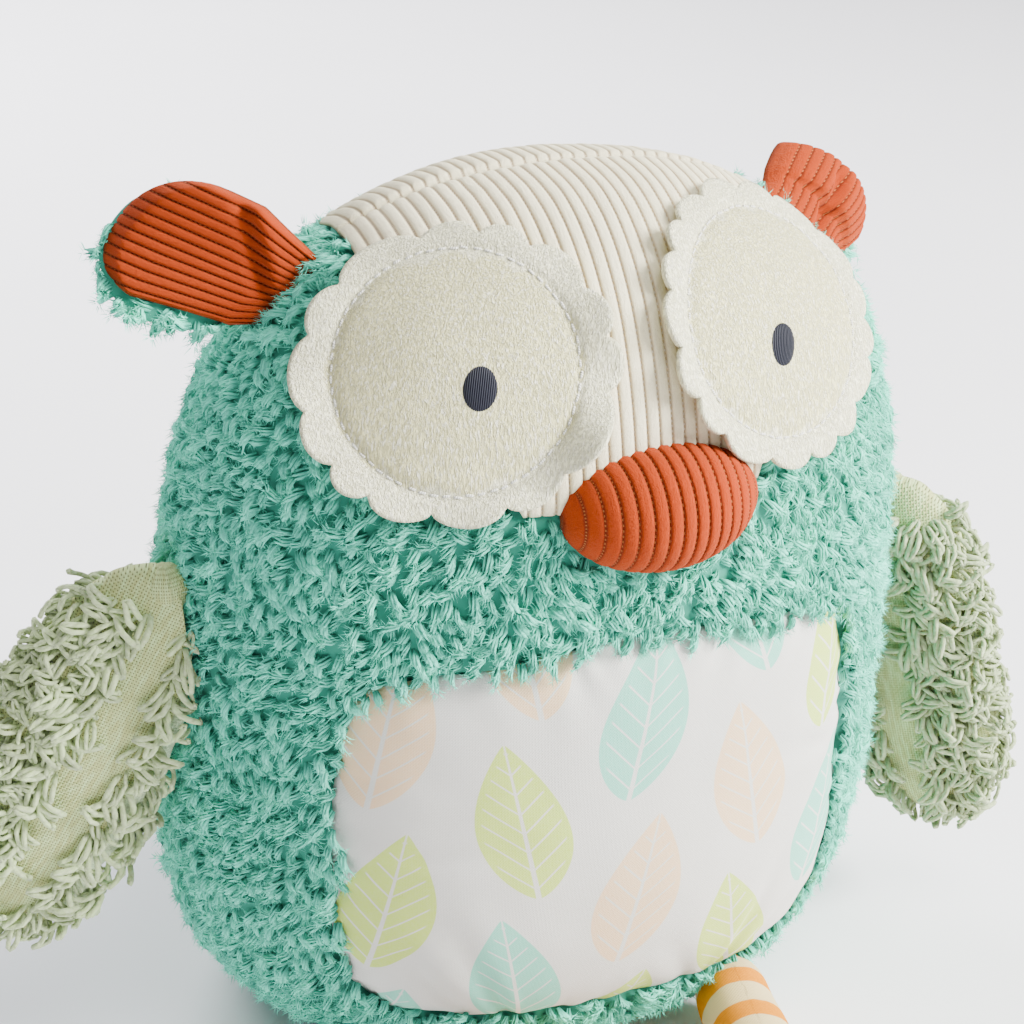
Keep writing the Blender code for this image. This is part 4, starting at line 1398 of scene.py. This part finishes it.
def ribbed_dome(name, matrix, half_width, half_height, bulge, ribs, rib_height, droop, tuck, power, rows, sag=0.0):
    """A padded oval whose ribs run up it; beyond its rim it tucks under by the tuck angle."""
    half_steps = len(WALE_STEPS)

    def shares(across):
        number = wale_spread(across, ribs)
        return number, np.clip(number / ribs * 2 - 1, -1, 1)

    def place(across, along):
        number, s = shares(across)
        narrow = np.sqrt(np.maximum(0, 1 - s**2)) ** power
        angle = (along * 2 - 1) * np.radians(tuck)
        rise = wale_rise(number) * rib_height * np.minimum(1, 3 * (1 - np.abs(s)))
        y = narrow * (half_height + rise) * np.sin(angle)
        z = narrow * (bulge * np.sign(np.cos(angle)) * np.abs(np.cos(angle)) ** power + rise * np.cos(angle))
        x = half_width * s
        z = z - droop * s**2 - sag * (y / half_height) ** 2
        return transformed(matrix, np.stack([x, y, z], 1))

    def uv(across, along):
        number, _ = shares(across)
        return number, along * 2 * half_height * 1.3

    return grid(name, ribs * half_steps, rows, place, uv=uv)


class OWL_OT_beak(bpy.types.Operator):
    """Make the padded corduroy beak"""

    bl_idname = "owl.beak"
    bl_label = "Beak"

    def execute(self, context):
        sizes, colours = context.scene.owl_sizes, context.scene.owl_colours
        cloth = rust_material(colours)
        beak = ribbed_dome(
            "beak_corduroy", beak_matrix(), BEAK_WIDTH / 2, BEAK_HEIGHT / 2, BEAK_BULGE,
            sizes.beak_wales, sizes.wale_height * 1.05, 0.0042, 122, 1.0, 44, 0.0012,
        )
        finish_piece(beak, "body", cloth, ("beak_cover", "beak_stuffing"))
        return {"FINISHED"}


def rust_material(colours):
    return corduroy_material(
        "rust corduroy", tuple(colours.rust), tuple(colours.rust_valley_shade), (0.62, 0.20, 0.06), (1.0, 0.60, 0.40)
    )


# Eyes.


class OWL_OT_eyes(bpy.types.Operator):
    """Make the scalloped felt, its stitches and the embroidered pupils"""

    bl_idname = "owl.eyes"
    bl_label = "Eyes"

    def execute(self, context):
        sizes, colours = context.scene.owl_sizes, context.scene.owl_colours
        surface = skin()
        felt_cloth = felt_material(colours)
        thread = thread_material("cream thread", tuple(colours.thread), 0.25)
        navy = thread_material("navy thread", tuple(colours.navy), 1.0, 0.6, 0.02)
        for side, sign in SIDES.items():
            matrix = eye_matrix(side)
            normal = matrix.col[2].to_3d()
            edge = EYE_STITCH_RADIUS + EYE_HEM

            lobes = EYE_SCALLOPS[side]

            def hem_share(angle):
                if side == "left":
                    return 1.0 + 0.08 * math.cos(2 * angle)
                return 1.02 + 0.30 * math.cos(2 * angle) - 0.12 * math.sin(angle)

            def lift_at(reach, angle):
                groove = 0.75 * math.exp(-(((reach - EYE_STITCH_RADIUS) / 0.0010) ** 2))
                hem = max(0.0, (reach - EYE_STITCH_RADIUS) / (edge - EYE_STITCH_RADIUS))
                wave = noise.noise(Vector((math.cos(angle) * 2.2, math.sin(angle) * 2.2, sign * 3)))
                curl = 0.9 + 1.3 * wave
                if side == "left":
                    curl += 1.9 * max(0, math.cos(angle - math.radians(195))) ** 2
                else:
                    curl += 2.2 * max(0, math.cos(angle - math.radians(185))) ** 2
                    curl += 1.8 * max(0, math.cos(angle + math.radians(30))) ** 3 * (1 + math.sin(angle * 7))
                centre_swell = 0.35 * (1 - min(1, reach / EYE_STITCH_RADIUS) ** 2)
                dent = 0.25 * noise.noise(Vector((math.cos(angle) * reach, math.sin(angle) * reach, sign)) * 90)
                return (0.35 + sizes.felt_thickness / MM - groove + hem * max(0.1, curl) + centre_swell + dent) * MM

            def place(across, along):
                spots = []
                for a, t in zip(across, along):
                    angle = 2 * math.pi * a
                    turn = a * lobes + 0.22 * math.sin(angle * 2 + sign) + 0.12 * math.sin(angle * 5)
                    lobe = abs(math.sin(math.pi * turn)) ** 0.55
                    wander = 0.0009 * noise.noise(Vector((math.floor(turn) % lobes * 3.1, sign, 0)))
                    hem = EYE_HEM * hem_share(angle)
                    reach = t * (EYE_STITCH_RADIUS + hem + (SCALLOP_RISE + wander) * lobe)
                    flat = matrix @ Vector((reach * math.cos(angle), reach * math.sin(angle), 0.05))
                    hit, _ = surface.ray(flat, -normal)
                    spots.append(hit + normal * lift_at(reach, angle))
                return spots

            def uv(across, along):
                return across, along * (edge + SCALLOP_RISE)

            felt = grid(f"felt_{side}", lobes * 22, 36, place, uv=uv)
            face_out(felt, (0, 0, 0.2))
            apply(felt, "SOLIDIFY", thickness=sizes.felt_thickness, offset=-1, use_rim=True)
            finish_piece(felt, "body", felt_cloth, (f"eye_felt_{side}",))

            rng = np.random.default_rng(31 + sign)
            count = 66
            turns, spots = np.empty((count, 3, 3)), np.empty((count, 3))
            for index in range(count):
                angle = 2 * math.pi * (index + rng.normal(0, 0.05)) / count
                reach = EYE_STITCH_RADIUS + rng.normal(0, 0.00012)
                flat = matrix @ Vector((reach * math.cos(angle), reach * math.sin(angle), 0.05))
                hit, _ = surface.ray(flat, -normal)
                tangent = matrix.to_3x3() @ Vector((-math.sin(angle), math.cos(angle), 0))
                tangent = Matrix.Rotation(rng.normal(0, 0.10), 3, normal) @ tangent
                aside = normal.cross(tangent)
                size = rng.uniform(0.92, 1.08)
                turns[index] = np.array(Matrix((tangent * size, aside, normal)).transposed())
                spots[index] = hit + normal * (lift_at(reach, angle) + 0.00028)
            tints = rng.random(count)
            stitches = copies(f"eye_stitches_{side}", [stitch_template()], np.zeros(count), turns, spots, tints)
            finish_piece(stitches, "body", thread, (f"eye_stitching_{side}",))

            centre, outward = surface.front(sign * PUPIL_X, PUPIL_Z)
            spin = Matrix.Rotation(math.radians(-14), 3, outward)
            pupil_matrix = basis(centre + outward * 0.0016, spin @ Vector((1, 0, 0)), outward)
            pupil = ribbed_dome(
                f"pupil_thread_{side}", pupil_matrix, PUPIL_WIDTH / 2, PUPIL_HEIGHT / 2, 0.0010,
                17, 0.00016, 0.0001, 96, 1.0, 14,
            )
            finish_piece(pupil, "body", navy, (f"pupil_{side}",))
        return {"FINISHED"}


def stitch_template():
    """One stitch: a short bowed thread along X whose ends dive into the felt."""

    def place(across, along):
        turn = 2 * math.pi * across
        x = (along * 2 - 1) * 0.00120
        radius = 0.00036 * np.maximum(0, 1 - np.abs(along * 2 - 1) ** 6) ** 0.5
        bow = -0.00035 * np.abs(along * 2 - 1) ** 3
        return np.stack([x, radius * np.cos(turn), bow + radius * np.sin(turn)], 1)

    return shape_arrays(grid("stitch", 6, 8, place))


# Ears.


def ear_frame(side):
    """The ear's own axes: X down the seam, Y backwards and Z outwards."""
    sign = SIDES[side]
    joint = joint_of(f"ear_fold_{side}")
    hinge, down = Vector(joint["pos_m"]), Vector(joint["axis"]).normalized()
    outward = Vector((-sign * down.z, 0, sign * down.x))
    sweep = Matrix.Rotation(math.radians(EAR_SWEEP_DEGREES[side]) * -sign, 3, down)
    return basis(hinge, down, sweep @ outward)


class OWL_OT_ears(bpy.types.Operator):
    """Make the pile backs and the corduroy linings of the ears"""

    bl_idname = "owl.ears"
    bl_label = "Ears"

    def execute(self, context):
        sizes, colours = context.scene.owl_sizes, context.scene.owl_colours
        pile_cloth, rust = pile_material(colours), rust_material(colours)
        table = spline_table(EAR_SHARES)
        factor = ring_factor(8)
        half = EAR_WIDTH / 2
        for number, (side, sign) in enumerate(SIDES.items()):
            matrix = ear_frame(side)
            reach_out = EAR_LENGTH * EAR_REACH_SHARES[side]

            def place(station, angle):
                along, width, depth = station
                across = width * half * math.sin(angle)
                factors = EAR_BACK_FACTORS[side]
                across *= np.interp(along, factors["share"], factors["upper" if across < 0 else "lower"])
                swell = depth * EAR_THICKNESS / 2 * math.cos(angle)
                bend = EAR_CUP[side] * (across / half) ** 2 + 0.6 * EAR_PUFF[side] * math.cos(angle) ** 2
                return Vector((across + EAR_LEAN[side] * along, -swell - sign * bend, along * reach_out))

            back = soft_form(f"ear back {side}", 8, EAR_SHARES, place, 3, matrix)
            surface = Skin(back)
            to_ear = matrix.inverted()
            halves = EAR_LINING_HALVES[side]

            def lining_half(share, s):
                """Half width of the lining on the upper side (s below 0) and on the lower side."""
                upper = np.interp(share, halves["share"], halves["upper"])
                return MM * np.where(s < 0, upper, np.interp(share, halves["share"], halves["lower"]))

            def lining_end(s):
                blunt = np.maximum(0, 1 - np.abs(s) ** EAR_BLUNTNESS[side]) ** (1 / EAR_BLUNTNESS[side])
                widest = EAR_WIDEST_SHARES[side]
                return EAR_LINING_END_SHARES[side] * (widest + (1 - widest) * blunt)

            def on_lining(spot):
                local = to_ear @ spot
                share = local.z / reach_out
                across = local.x - EAR_LEAN[side] * share
                s = across / float(lining_half(share, across))
                aside = (across / half) ** 2
                middle_y = EAR_CUP[side] * aside + 0.6 * EAR_PUFF[side] * max(0, 1 - aside)
                behind = 0.0035 if s < 0.3 and (s < -0.65 or share > 0.75) else 0.001
                inside = -1.25 < s < 0.96 and share < lining_end(max(-1, min(1, s))) + 0.03
                return -sign * local.y > middle_y - behind and inside

            def nap(_place, _normal):
                return matrix.to_3x3() @ Vector((0.9, 0.5, 0.35))

            spots = scatter(back, sizes.tuft_spacing * 0.95, lambda middle: True, 40 + number)
            spots = [spot for spot in spots if not on_lining(spot)]
            tufts = grow_pile("ear tufts", spots, surface, nap, EAR_TUFT_SINK, sizes.tuft_length, 50 + number, 40)
            normals = np.array([vertex.normal for vertex in back.data.vertices])
            put(back, places(back) - normals * 0.0008)
            # The ear's back takes the pile's root colour: a dark sheet of painted shade under the tufts.
            set_uv(back, np.tile([0.5, 0.05], (len(back.data.vertices), 1)))
            piece = joined(f"ear_pile_{side}", [tufts, back])
            finish_piece(piece, f"ear_{side}", pile_cloth, (f"ear_back_{side}",))

            wales = sizes.ear_wales
            start = EAR_LINING_STARTS[side]

            def lining(across, along):
                wale = wale_spread(across, wales)
                s = np.clip(wale / wales * 2 - 1, -1, 1)
                out = start + (lining_end(s) * reach_out - start) * along
                share = out / reach_out
                reach = s * lining_half(share, s)
                depth = np.interp(share, table[:, 0], table[:, 2]) * factor * EAR_THICKNESS / 2
                inner = np.clip(1 - s**2, 0, 1)
                rim = np.minimum(1, np.minimum((1 - along) * 9, inner * 6 + 0.02))
                rise = wale_rise(wale) * sizes.wale_height * 0.95 * (0.35 + 0.65 * rim)
                dome = np.sqrt(inner) if side == "right" else inner
                forward = (depth + EAR_PUFF[side]) * dome + EAR_CUP[side] * (reach / half) ** 2 + rise
                forward += EAR_LINING_LIFT * rim - 0.0008 * (1 - rim)
                if side == "right":
                    fold = (reach / half - 0.05 + 2.2 * share) / 0.14
                    fade = np.clip((0.60 - share) * 5, 0, 1) * rim
                    forward += (0.0014 * np.exp(-((fold + 2.2) ** 2) / 2) - 0.0018 * np.exp(-(fold**2))) * fade
                else:
                    fold = (reach / half + 0.05 + 0.2 * share) / 0.11
                    forward -= 0.0036 * np.exp(-(fold**2)) * np.clip((0.85 - share) * 2.5, 0, 1)
                spots = np.stack([reach + EAR_LEAN[side] * share, -sign * forward, out], 1)
                return transformed(matrix, spots)

            def uv(across, along):
                return wale_spread(across, wales), along * reach_out

            cover = grid(f"ear_corduroy_{side}", wales * len(WALE_STEPS), 44, lining, merge=False, uv=uv)
            face_out(cover, matrix @ Vector((EAR_LEAN[side] / 2, sign * 0.02, EAR_LENGTH / 2)))
            apply(cover, "SOLIDIFY", thickness=0.0012, offset=-1, use_rim=True)
            finish_piece(cover, f"ear_{side}", rust, (f"ear_lining_{side}",))
        return {"FINISHED"}


# Wings.


def wing_frame(side):
    sign = SIDES[side]
    centre = Vector(joint_of(f"wing_lift_{side}")["pos_m"])
    heading = math.radians(WING_HEADING_DEGREES[side])
    droop = math.radians(WING_DROOP_DEGREES[side])
    flat = Vector((sign * math.cos(heading), math.sin(heading), 0))
    along = flat * math.cos(droop) - Vector((0, 0, math.sin(droop)))
    chord = flat * math.sin(droop) + Vector((0, 0, math.cos(droop)))
    chord = Matrix.Rotation(math.radians(WING_TWIST_DEGREES[side]) * sign, 3, along) @ chord
    return basis(centre, chord, along)


def loop_template(name, height, bend, cross, open_end):
    """One yarn loop of length 1 from the origin: out along X in a bow, and back beside its start."""

    def spine(t):
        turn = t * (1.30 if open_end else 1.90) * math.pi
        out = 0.5 * (1 - np.cos(turn))
        x = out * 0.95
        y = cross * np.sin(turn) + bend * out**2
        z = height * (3.6 * out - 3.3 * out**2) * (1 - 0.35 * t)
        return np.stack([x, y, z], 1)

    def place(across, along):
        middle = spine(along)
        tangent = spine(np.minimum(1, along + 0.01)) - spine(np.maximum(0, along - 0.01))
        tangent /= np.linalg.norm(tangent, axis=1)[:, None] + 1e-9
        side = np.cross(tangent, [0.0, 0.3, 1.0])
        side /= np.linalg.norm(side, axis=1)[:, None] + 1e-9
        up = np.cross(tangent, side)
        radius = 0.088 * np.interp(along, [0, 0.08, 0.92, 1], [0.8, 1, 1, 0 if open_end else 0.8])[:, None]
        turn = (2 * math.pi * across)[:, None]
        return middle + radius * (np.cos(turn) * side + np.sin(turn) * up)

    return shape_arrays(grid(name, 5, 10, place))


class OWL_OT_wings(bpy.types.Operator):
    """Make the padded wings: woven cloth, bands of yarn loops and the gathered root"""

    bl_idname = "owl.wings"
    bl_label = "Wings"

    def execute(self, context):
        sizes, colours = context.scene.owl_sizes, context.scene.owl_colours
        cloth = wing_cloth_material(colours, sizes.thread_pitch)
        yarn = yarn_material(colours)
        body = skin()
        templates = [
            loop_template("loop 1", 0.42, 0.35, 0.13, False),
            loop_template("loop 2", 0.34, -0.45, 0.17, False),
            loop_template("loop 3", 0.50, -0.30, 0.12, False),
            loop_template("loop 4", 0.36, 0.55, -0.15, True),
        ]
        for number, (side, sign) in enumerate(SIDES.items()):
            matrix = wing_frame(side)
            to_wing = matrix.inverted()
            half = WING_WIDTH / 2

            def place(station, angle):
                along, width, depth = station
                across = width * half * math.sin(angle)
                return Vector((across, -depth * WING_THICKNESS / 2 * math.cos(angle), along * WING_LENGTH))

            pad = soft_form(f"wing_cloth_{side}", 8, WING_SHARES, place, 4, matrix)
            inflate(pad, 0.004, 0.0030)
            moved = []
            for vertex in pad.data.vertices:
                local = to_wing @ vertex.co
                ripple = noise.noise(Vector((local.x * 60, sign, local.z * 24))) * 0.0009
                spot = vertex.co + vertex.normal * ripple
                hit, normal, _ = body.nearest(spot)
                gap = (spot - hit).dot(normal)
                if gap < 0.0015:
                    spot = spot + normal * (0.0015 - gap)
                moved.append(spot)
            put(pad, moved)
            local = transformed(to_wing, places(pad))
            set_uv(pad, np.stack([local[:, 0] * 1.1, local[:, 2]], 1))
            surface = Skin(pad)
            table = spline_table(WING_SHARES)

            def in_band(spot):
                inner = to_wing @ spot
                share = max(0.01, min(0.999, inner.z / WING_LENGTH))
                width = np.interp(share, table[:, 0], table[:, 1]) * ring_factor(8) * half
                across = inner.x / max(width, 0.001)
                across += 0.10 * noise.noise(Vector((inner.z * 60, sign, 5)))
                if share > 0.955:
                    return True
                return any(low < across < high for low, high in LOOP_BANDS)

            spots = [s for s in scatter(pad, sizes.loop_spacing, lambda middle: True, 60 + number) if in_band(s)]
            spots = [s for s in spots if (to_wing @ s).z > 0.006]
            rng = np.random.default_rng(70 + number)
            count = len(spots)
            turns, roots = np.empty((count, 3, 3)), np.empty((count, 3))
            for index, spot in enumerate(spots):
                hit, normal, _ = surface.nearest(spot)
                inner = to_wing @ hit
                outward = 0.9 * max(-1, min(1, inner.x / half))
                direction = matrix.to_3x3() @ Vector((outward, 0, 0.8))
                along = (direction - direction.dot(normal) * normal).normalized()
                along = Matrix.Rotation(rng.normal(0, 0.85), 3, normal) @ along
                aside = normal.cross(along)
                tilt = Matrix.Rotation(-abs(rng.normal(0.12, 0.3)), 3, aside)
                size = sizes.loop_length * rng.uniform(0.7, 1.2) * (1 - 0.22 * max(0, inner.x / half))
                turns[index] = np.array(Matrix((tilt @ along, aside, tilt @ normal)).transposed()) * size
                roots[index] = hit - normal * 0.0006
            # The left wing's loops take only the dark end of the tint range: painted shade on that wing. The right
            # wing's loops vary at random.
            loops = copies(
                f"wing_loops_{side}", templates, rng.integers(0, 4, count), turns, roots,
                rng.random(count) * (1.0 if side == "right" else 0.2),
            )
            keep_off_body(loops, body, 0.0006)
            nodes = (f"wing_stuffing_{side}", f"wing_front_{side}", f"wing_back_{side}")
            finish_piece(pad, f"wing_{side}", cloth, nodes)
            finish_piece(loops, f"wing_{side}", yarn)

            def knob(share, angle):
                around = math.sqrt(1 - share**2)
                gather = 0.80 * WING_ROOT_RADIUS * (1 + 0.05 * math.cos(angle * 8))
                return gather * Vector((around * math.sin(angle), -around * math.cos(angle), -share))

            shares = [math.cos(math.pi * k / 10) for k in range(11)]
            gather = soft_form(f"wing_gather_{side}", 16, shares, knob, 2, Matrix.Translation(matrix.translation))
            local = places(gather) - np.array(matrix.translation)
            set_uv(gather, np.stack([np.arctan2(local[:, 0], local[:, 1]) * WING_ROOT_RADIUS, local[:, 2]], 1))
            finish_piece(gather, f"wing_root_{side}", cloth, (f"wing_root_{side}",))
        return {"FINISHED"}


def keep_off_body(obj, body, clearance):
    """Moves points that lie inside the body out to just above its surface."""
    spots = places(obj)
    for index, spot in enumerate(spots):
        hit, normal, _ = body.nearest(spot)
        gap = (Vector(spot) - hit).dot(normal)
        if gap < clearance:
            spots[index] = spot + np.array(normal) * (clearance - gap)
    put(obj, spots)


def inflate(obj, voxel, cap):
    """Swells a pad with the cloth simulation; no point moves further than the cap. Its UV map comes afterwards."""
    scene = bpy.context.scene
    apply(obj, "REMESH", mode="VOXEL", voxel_size=voxel)
    start = places(obj)
    cloth = obj.modifiers.new("cloth", "CLOTH")
    cloth.settings.use_pressure = True
    cloth.settings.uniform_pressure_force = 4
    cloth.settings.effector_weights.gravity = 0
    cloth.point_cache.frame_start = 1
    cloth.point_cache.frame_end = 20
    for number in range(1, 21):
        scene.frame_set(number)
    activate(obj)
    bpy.ops.object.modifier_apply(modifier=cloth.name)
    scene.frame_set(1)
    offset = places(obj) - start
    far = np.linalg.norm(offset, axis=1)[:, None]
    put(obj, start + offset * np.minimum(1, cap / np.maximum(far, 1e-9)))
    subdivide(obj, 1)


# Legs.


class OWL_OT_legs(bpy.types.Operator):
    """Make the striped stuffed legs"""

    bl_idname = "owl.legs"
    bl_label = "Legs"

    def execute(self, context):
        sizes, colours = context.scene.owl_sizes, context.scene.owl_colours
        cloth = jersey_material(colours, sizes.stripe_pitch)
        stations = [(along * LEG_RADIUS, radius * LEG_RADIUS) for along, radius in LEG_ROOT_SHARES]
        stations += [(along * LEG_LENGTH, radius * LEG_FOOT_RADIUS) for along, radius in LEG_TUBE_SHARES]
        for side, sign in SIDES.items():
            centre = Vector(joint_of(f"leg_lift_{side}")["pos_m"])
            toe = math.radians(LEG_TOE_IN_DEGREES)
            drop = (centre.z - LEG_FOOT_RADIUS - LEG_GAP) / LEG_LENGTH
            along_axis = Vector((-sign * math.sin(toe), -math.cos(toe), -drop))
            matrix = basis(centre, Vector((1, 0, 0)), along_axis)

            def place(station, angle):
                along, radius = station
                return Vector((radius * math.sin(angle), -radius * math.cos(angle), along))

            leg = soft_form(f"leg_jersey_{side}", 8, stations, place, 4, matrix)
            local = transformed(matrix.inverted(), places(leg))
            around = np.arctan2(local[:, 0], -local[:, 1])
            ripple = np.array([noise.noise(Vector((*(spot * 70),))) for spot in local]) * 0.0006
            normals = np.array([vertex.normal for vertex in leg.data.vertices])
            spots = places(leg) + normals * ripple[:, None]
            spots[:, 2] = np.maximum(spots[:, 2], 0.0004)
            put(leg, spots)
            set_uv(leg, np.stack([around * LEG_RADIUS, local[:, 2]], 1))
            nodes = (f"leg_cover_{side}", f"leg_stuffing_{side}")
            finish_piece(leg, f"leg_{side}", cloth, nodes)
        return {"FINISHED"}


# Stage.


class OWL_OT_stage(bpy.types.Operator):
    """Make the pale floor, the soft lights and the camera"""

    bl_idname = "owl.stage"
    bl_label = "Stage"

    def execute(self, context):
        scene = context.scene
        colours = scene.owl_colours
        deselect()
        bpy.ops.mesh.primitive_plane_add(size=9, location=(0, 1.5, -0.0002))
        floor = named("floor")
        bpy.ops.object.transform_apply(location=True, rotation=False, scale=False)
        made, tree, shader = material("pale floor", 0.7, specular=0.2)
        patch = ramp(tree, noise_of(tree, object_place(tree), 3.0, 3.0), 0.3, 0.7)
        floor_colour = tuple(colours.floor)
        darker = tuple(0.97 * part for part in floor_colour)
        tree.links.new(blend(tree, patch, darker, floor_colour), shader.inputs["Base Color"])
        floor.data.materials.append(made)

        world = bpy.data.worlds.new("soft room")
        scene.world = world
        world.use_nodes = True
        background = world.node_tree.nodes["Background"]
        background.inputs[0].default_value = (0.90, 0.90, 0.96, 1)
        background.inputs[1].default_value = 0.37
        self.add_area("key", (1.40, -0.95, 1.10), (0.0, -0.02, 0.13), 0.9, 170, (1.0, 0.985, 0.94))
        self.add_area("fill", (-1.3, -1.0, 0.9), (0.0, 0.0, 0.12), 1.6, 1, (0.90, 0.94, 1.0))
        self.add_area("top", (0.25, -0.55, 1.5), (0.0, 0.0, 0.2), 0.8, 14, (1.0, 0.99, 0.96))
        self.add_area("back", (-0.35, 1.5, 1.1), (-0.3, 1.45, 0.0), 1.4, 68, (0.99, 0.98, 1.0))

        azimuth, elevation = math.radians(CAMERA_AZIMUTH), math.radians(CAMERA_ELEVATION)
        back = Vector(
            (
                math.sin(azimuth) * math.cos(elevation),
                -math.cos(azimuth) * math.cos(elevation),
                math.sin(elevation),
            )
        )
        camera_data = bpy.data.cameras.new("camera")
        camera_data.lens = CAMERA_LENS
        camera_data.sensor_width = 36
        camera_data.clip_start = 0.01
        camera = bpy.data.objects.new("camera", camera_data)
        scene.collection.objects.link(camera)
        camera.location = Vector(CAMERA_TARGET) + back * CAMERA_DISTANCE
        camera.rotation_euler = back.to_track_quat("Z", "Y").to_euler()
        scene.camera = camera
        return {"FINISHED"}

    def add_area(self, name, location, target, size, power, tint):
        light = bpy.data.lights.new(name, "AREA")
        light.shape = "DISK"
        light.size = size
        light.energy = power
        light.color = tint
        lamp = bpy.data.objects.new(name, light)
        bpy.context.scene.collection.objects.link(lamp)
        lamp.location = location
        lamp.rotation_euler = (Vector(location) - Vector(target)).to_track_quat("Z", "Y").to_euler()


OPERATORS = (
    OWL_OT_stuffing,
    OWL_OT_pile,
    OWL_OT_belly,
    OWL_OT_forehead,
    OWL_OT_beak,
    OWL_OT_eyes,
    OWL_OT_ears,
    OWL_OT_wings,
    OWL_OT_legs,
    OWL_OT_stage,
)


class OWL_PT_panel(bpy.types.Panel):
    """Lists the owl's pieces with their sizes and colours"""

    bl_label = "Plush owl"
    bl_space_type = "VIEW_3D"
    bl_region_type = "UI"
    bl_category = "Owl"

    def draw(self, context):
        layout = self.layout
        for operator in OPERATORS:
            layout.operator(operator.bl_idname)
        for group in (context.scene.owl_sizes, context.scene.owl_colours):
            box = layout.box()
            for key in group.bl_rna.properties.keys():
                if key not in ("rna_type", "name"):
                    box.prop(group, key)


CLASSES = (OwlSizes, OwlColours, *OPERATORS, OWL_PT_panel)


def register():
    for kind in CLASSES:
        bpy.utils.register_class(kind)
    bpy.types.Scene.owl_sizes = bpy.props.PointerProperty(type=OwlSizes)
    bpy.types.Scene.owl_colours = bpy.props.PointerProperty(type=OwlColours)


def unregister():
    del bpy.types.Scene.owl_sizes
    del bpy.types.Scene.owl_colours
    for kind in reversed(CLASSES):
        bpy.utils.unregister_class(kind)


def main():
    register()
    for operator in OPERATORS:
        area, call = operator.bl_idname.split(".")
        getattr(getattr(bpy.ops, area), call)()


if __name__ == "__main__":
    main()
